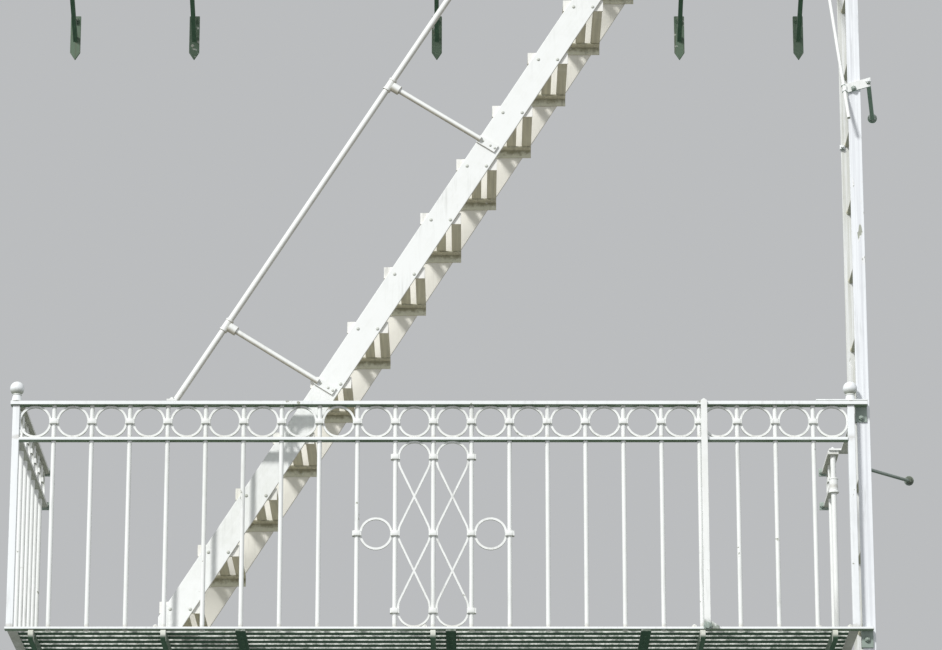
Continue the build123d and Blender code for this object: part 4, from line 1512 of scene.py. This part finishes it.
@dataclass(frozen=True)
class GuideSizes:
    """Sizes of the drop ladder and of what guides and steadies it, in metres."""

    clip_seats: tuple[float, float] = (0.019, 0.0225)
    clip_bolt_x: float = 1.693
    clip_bolt_drops: tuple[float, float] = (0.044, 0.059)
    top_bolt: tuple[float, float] = (0.029, 2.2735)
    strap_nut: tuple[float, float] = (-0.02, 0.03)
    strut_end: Point = (1.876, -0.008, 2.514)
    strut_start: Point = (1.7601, -1.0265, 2.3035)
    stay_end: Point = (1.985, -0.008, 0.901)
    stay_start: Point = (1.7285, -0.6169, 0.795)
    rod_eye: Point = (1.6619, -1.0265, 2.2745)
    rod_head: Point = (1.589, -0.590, 3.333)
    rod_eye_half: float = 0.0105
    rod_nut_gap: float = 0.004
    arm_half: float = 0.010
    pipe_y: float = -0.300
    pipe_r: float = 0.011
    coupling: tuple[float, float] = (0.739, 0.799)
    coupling_r: float = 0.018
    rim_drops: tuple[float, float] = (0.002, 0.006)
    flange_fit: float = 1.02
    rungs: int = 16
    rung_first: float = 0.171
    rung_pitch: float = 0.295
    stop_nut: tuple[float, float] = (0.005, 2.150)


class Guides(Assembly):
    """Fasteners and fittings of the drop ladder, its guides, the pipe post, the strut and the rods."""

    sizes = GuideSizes()

    def __init__(self, *shared: Any) -> None:
        """Read the ladder's and the guides' places from the frame.

        Args:
            shared: Layout, finishes and fasteners, as for every sub-assembly.
        """
        super().__init__(*shared)
        self.near_low, self.near_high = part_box("ladder_near_rail")
        self.far_low, self.far_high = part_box("ladder_far_rail")
        self.guide_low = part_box("top_guide")[0]

    @Piece("fitting", "low_nut")
    def guide_bolts(self) -> Spots:
        """Bolts of the near clips and the top guide."""
        sizes = self.sizes
        for level, seat, drop in zip((self.deck, self.top), sizes.clip_seats, sizes.clip_bolt_drops):
            yield (sizes.clip_bolt_x, self.layout.front + seat, level - drop), OUTWARD, level
        shift, height = sizes.top_bolt
        yield (self.guide_low.x + shift, self.guide_low.y, height), OUTWARD, 0.2

    @Piece("railing", "low_nut")
    def strap_nuts(self) -> Spots:
        """Nuts on both ends of the far strap."""
        strap_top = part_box("far_guide")[1].z
        hook = (self.far_high.x + self.sizes.strap_nut[0], self.far_high.y + self.sizes.strap_nut[1])
        for x, y in ((self.layout.end_x, self.sizes.pipe_y), hook):
            yield (x, y, strap_top), UP, x

    @Piece("fitting", "rod_nut")
    def strut_nut(self) -> Spots:
        """Nut where the strut meets the wall."""
        yield self.sizes.strut_end, Vector(self.sizes.strut_start) - Vector(self.sizes.strut_end)

    @Piece("iron", "rod_nut")
    def stay_nut(self) -> Spots:
        """Nut where the stay rod meets the wall."""
        yield self.sizes.stay_end, Vector(self.sizes.stay_start) - Vector(self.sizes.stay_end)

    @Piece("railing", "low_nut")
    def hanger_nuts(self) -> Spots:
        """Nuts of the hanging rod at its eye and the upper arm, and of the strut's front end."""
        sizes = self.sizes
        eye = Vector(sizes.rod_eye)
        way = (eye - Vector(sizes.rod_head)).normalized()
        yield eye + way * sizes.rod_eye_half, way
        yield eye - way * (sizes.rod_eye_half + sizes.rod_nut_gap), -way
        x, _, z = sizes.strut_start
        yield (x, self.guide_low.y, z), OUTWARD, 0.5
        yield (self.layout.brackets[-1] - sizes.arm_half, *sizes.rod_head[1:]), LEFT, 0.1

    @Piece("bars", grain=Grain.UPRIGHT)
    def pipe_rims(self) -> Parts:
        """Raised rims of the pipe's coupling, and the flange at the pipe's foot."""
        sizes = self.sizes
        low, high = (self.deck + end - drop for end, drop in zip(sizes.coupling, sizes.rim_drops))
        neck = sizes.pipe_r * sizes.flange_fit / sizes.coupling_r
        shapes = (
            (low, ((0.9, 0.0), (1.16, 0.0015), (1.2, 0.0065), (1.1, 0.0105), (0.98, 0.0125))),
            (high, ((0.9, 0.0), (1.06, 0.0015), (1.08, 0.0055), (0.9, 0.0085))),
            (self.deck, ((1.04, 0.0), (1.05, 0.0045), (0.8, 0.0085), (neck, 0.0105))),
        )
        parts = []
        for z, rings in shapes:
            ring = [(share * sizes.coupling_r, height) for share, height in rings]
            part = turned(MOULDING_SIDES, ring)
            part.data.transform(Matrix.Translation((self.layout.end_x, sizes.pipe_y, z)))
            parts.append(part)
        return parts

    @Piece("rung", "shoulder", body=LADDER)
    def rung_shoulders(self) -> Spots:
        """Collars of the rungs beside both rails."""
        sizes = self.sizes
        x = (self.near_low.x + self.near_high.x) / 2
        for rung in range(sizes.rungs):
            z = self.near_low.z + sizes.rung_first + rung * sizes.rung_pitch
            yield (x, self.near_high.y, z), INWARD, rung
            yield (x, self.far_low.y, z), OUTWARD, rung

    @Piece("railing", "square_nut", body=LADDER)
    def stop_nut(self) -> Spots:
        """Square nut near the far rail's edge, which the hook catches."""
        shift, height = self.sizes.stop_nut
        yield (self.far_low.x + shift, self.far_low.y, height), OUTWARD, math.radians(45.0)


@dataclass(frozen=True)
class Studio:
    """Floor, light and camera.

    Attributes:
        distance: Camera in front of the front railing.
        pitch: How far the camera looks up, in degrees.
        camera_x: Camera's place along the wall.
        camera_z: Camera's height.
        lens: Focal length in millimetres.
        floor_z: Floor's height, just under the lowered ladder's foot.
        floor_size: Length of its sides.
        tone: Grey of the floor and the background.
        glow: Strength of the background that the camera sees.
        sky: Strength of the even light.
        sky_colour: Its colour.
        sun: Strength of the key light.
        sun_colour: Its colour.
        sun_width: Its width in degrees.
        sun_way: Direction that it shines in.
    """

    distance: float = 16.0
    pitch: float = 17.0
    camera_x: float = 0.148
    camera_z: float = -3.627
    lens: float = 160.6
    floor_z: float = -3.90
    floor_size: float = 400.0
    tone: Colour = (0.47, 0.48, 0.49)
    glow: float = 1.06
    sky: float = 0.46
    sky_colour: Colour = (0.97, 0.985, 1.0)
    sun: float = 2.85
    sun_colour: Colour = (1.0, 0.99, 0.97)
    sun_width: float = 9.0
    sun_way: Point = (0.42, 0.66, -0.62)

    def build(self, layout: StairLayout) -> None:
        """Make the floor, the lights and the camera.

        Args:
            layout: Places of the stair.
        """
        self.floor()
        self.world()
        self.lamp()
        self.camera(layout)

    def floor(self) -> None:
        """Plain pale floor far below the balconies."""
        choose()
        bpy.ops.mesh.primitive_plane_add(size=self.floor_size, location=(0.0, 0.0, self.floor_z))
        floor = bpy.context.active_object
        floor.name = "floor"
        material = bpy.data.materials.new("floor_paint")
        material.use_nodes = True
        shader = material.node_tree.nodes["Principled BSDF"]
        shader.inputs["Base Color"].default_value = (*self.tone, 1.0)
        shader.inputs["Roughness"].default_value = 1.0
        floor.data.materials.append(material)

    def world(self) -> None:
        """Even light from all round, and the background that the camera sees."""
        world = bpy.data.worlds.new("studio")
        bpy.context.scene.world = world
        world.use_nodes = True
        world.node_tree.nodes.clear()
        tree = Tree(world.node_tree)
        light = tree.out(0, "ShaderNodeBackground", {"Color": self.sky_colour, "Strength": self.sky})
        shown = tree.out(0, "ShaderNodeBackground", {"Color": self.tone, "Strength": self.glow})
        seen = tree.out("Is Camera Ray", "ShaderNodeLightPath")
        both = tree.out(0, "ShaderNodeMixShader", {0: seen, 1: light, 2: shown})
        tree.add("ShaderNodeOutputWorld", {"Surface": both})

    def lamp(self) -> None:
        """Broad key light from the upper left, as the sun in the photograph, softened."""
        data = bpy.data.lights.new("key", "SUN")
        data.energy = self.sun
        data.angle = math.radians(self.sun_width)
        data.color = self.sun_colour
        lamp = bpy.data.objects.new("key", data)
        lamp.rotation_mode = "QUATERNION"
        lamp.rotation_quaternion = Vector(self.sun_way).to_track_quat("-Z", "Y")
        bpy.context.scene.collection.objects.link(lamp)

    def camera(self, layout: StairLayout) -> None:
        """Long lens far in front, looking up as in the photograph.

        Args:
            layout: Places of the stair.
        """
        data = bpy.data.cameras.new("camera")
        data.lens = self.lens
        data.sensor_width = 36.0
        data.clip_start = 0.1
        data.clip_end = 500.0
        camera = bpy.data.objects.new("camera", data)
        camera.location = (self.camera_x, layout.front - self.distance, self.camera_z)
        camera.rotation_euler = (math.radians(90.0 + self.pitch), 0.0, 0.0)
        bpy.context.scene.collection.objects.link(camera)
        bpy.context.scene.camera = camera


def main() -> None:
    """Load the frame, dress it, and set the studio."""
    logging.basicConfig(level=logging.INFO, format="%(name)s: %(message)s")
    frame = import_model()
    scene = bpy.context.scene
    scene.view_settings.view_transform = "Standard"
    layout = StairLayout.from_frame()
    shop = PaintShop(layout)
    shop.dress_nodes(frame["nodes"])
    patterns = {name: fastener.model(f"{name}_pattern") for name, fastener in FASTENERS.items()}
    for storey in range(len(BALCONIES)):
        Deck(layout, shop, patterns, storey).build()
        Railing(layout, shop, patterns, storey).build()
    Flight(layout, shop, patterns).build()
    Guides(layout, shop, patterns).build()
    for pattern in patterns.values():
        bpy.data.objects.remove(pattern)
    Studio().build(layout)


if __name__ == "__main__":
    main()
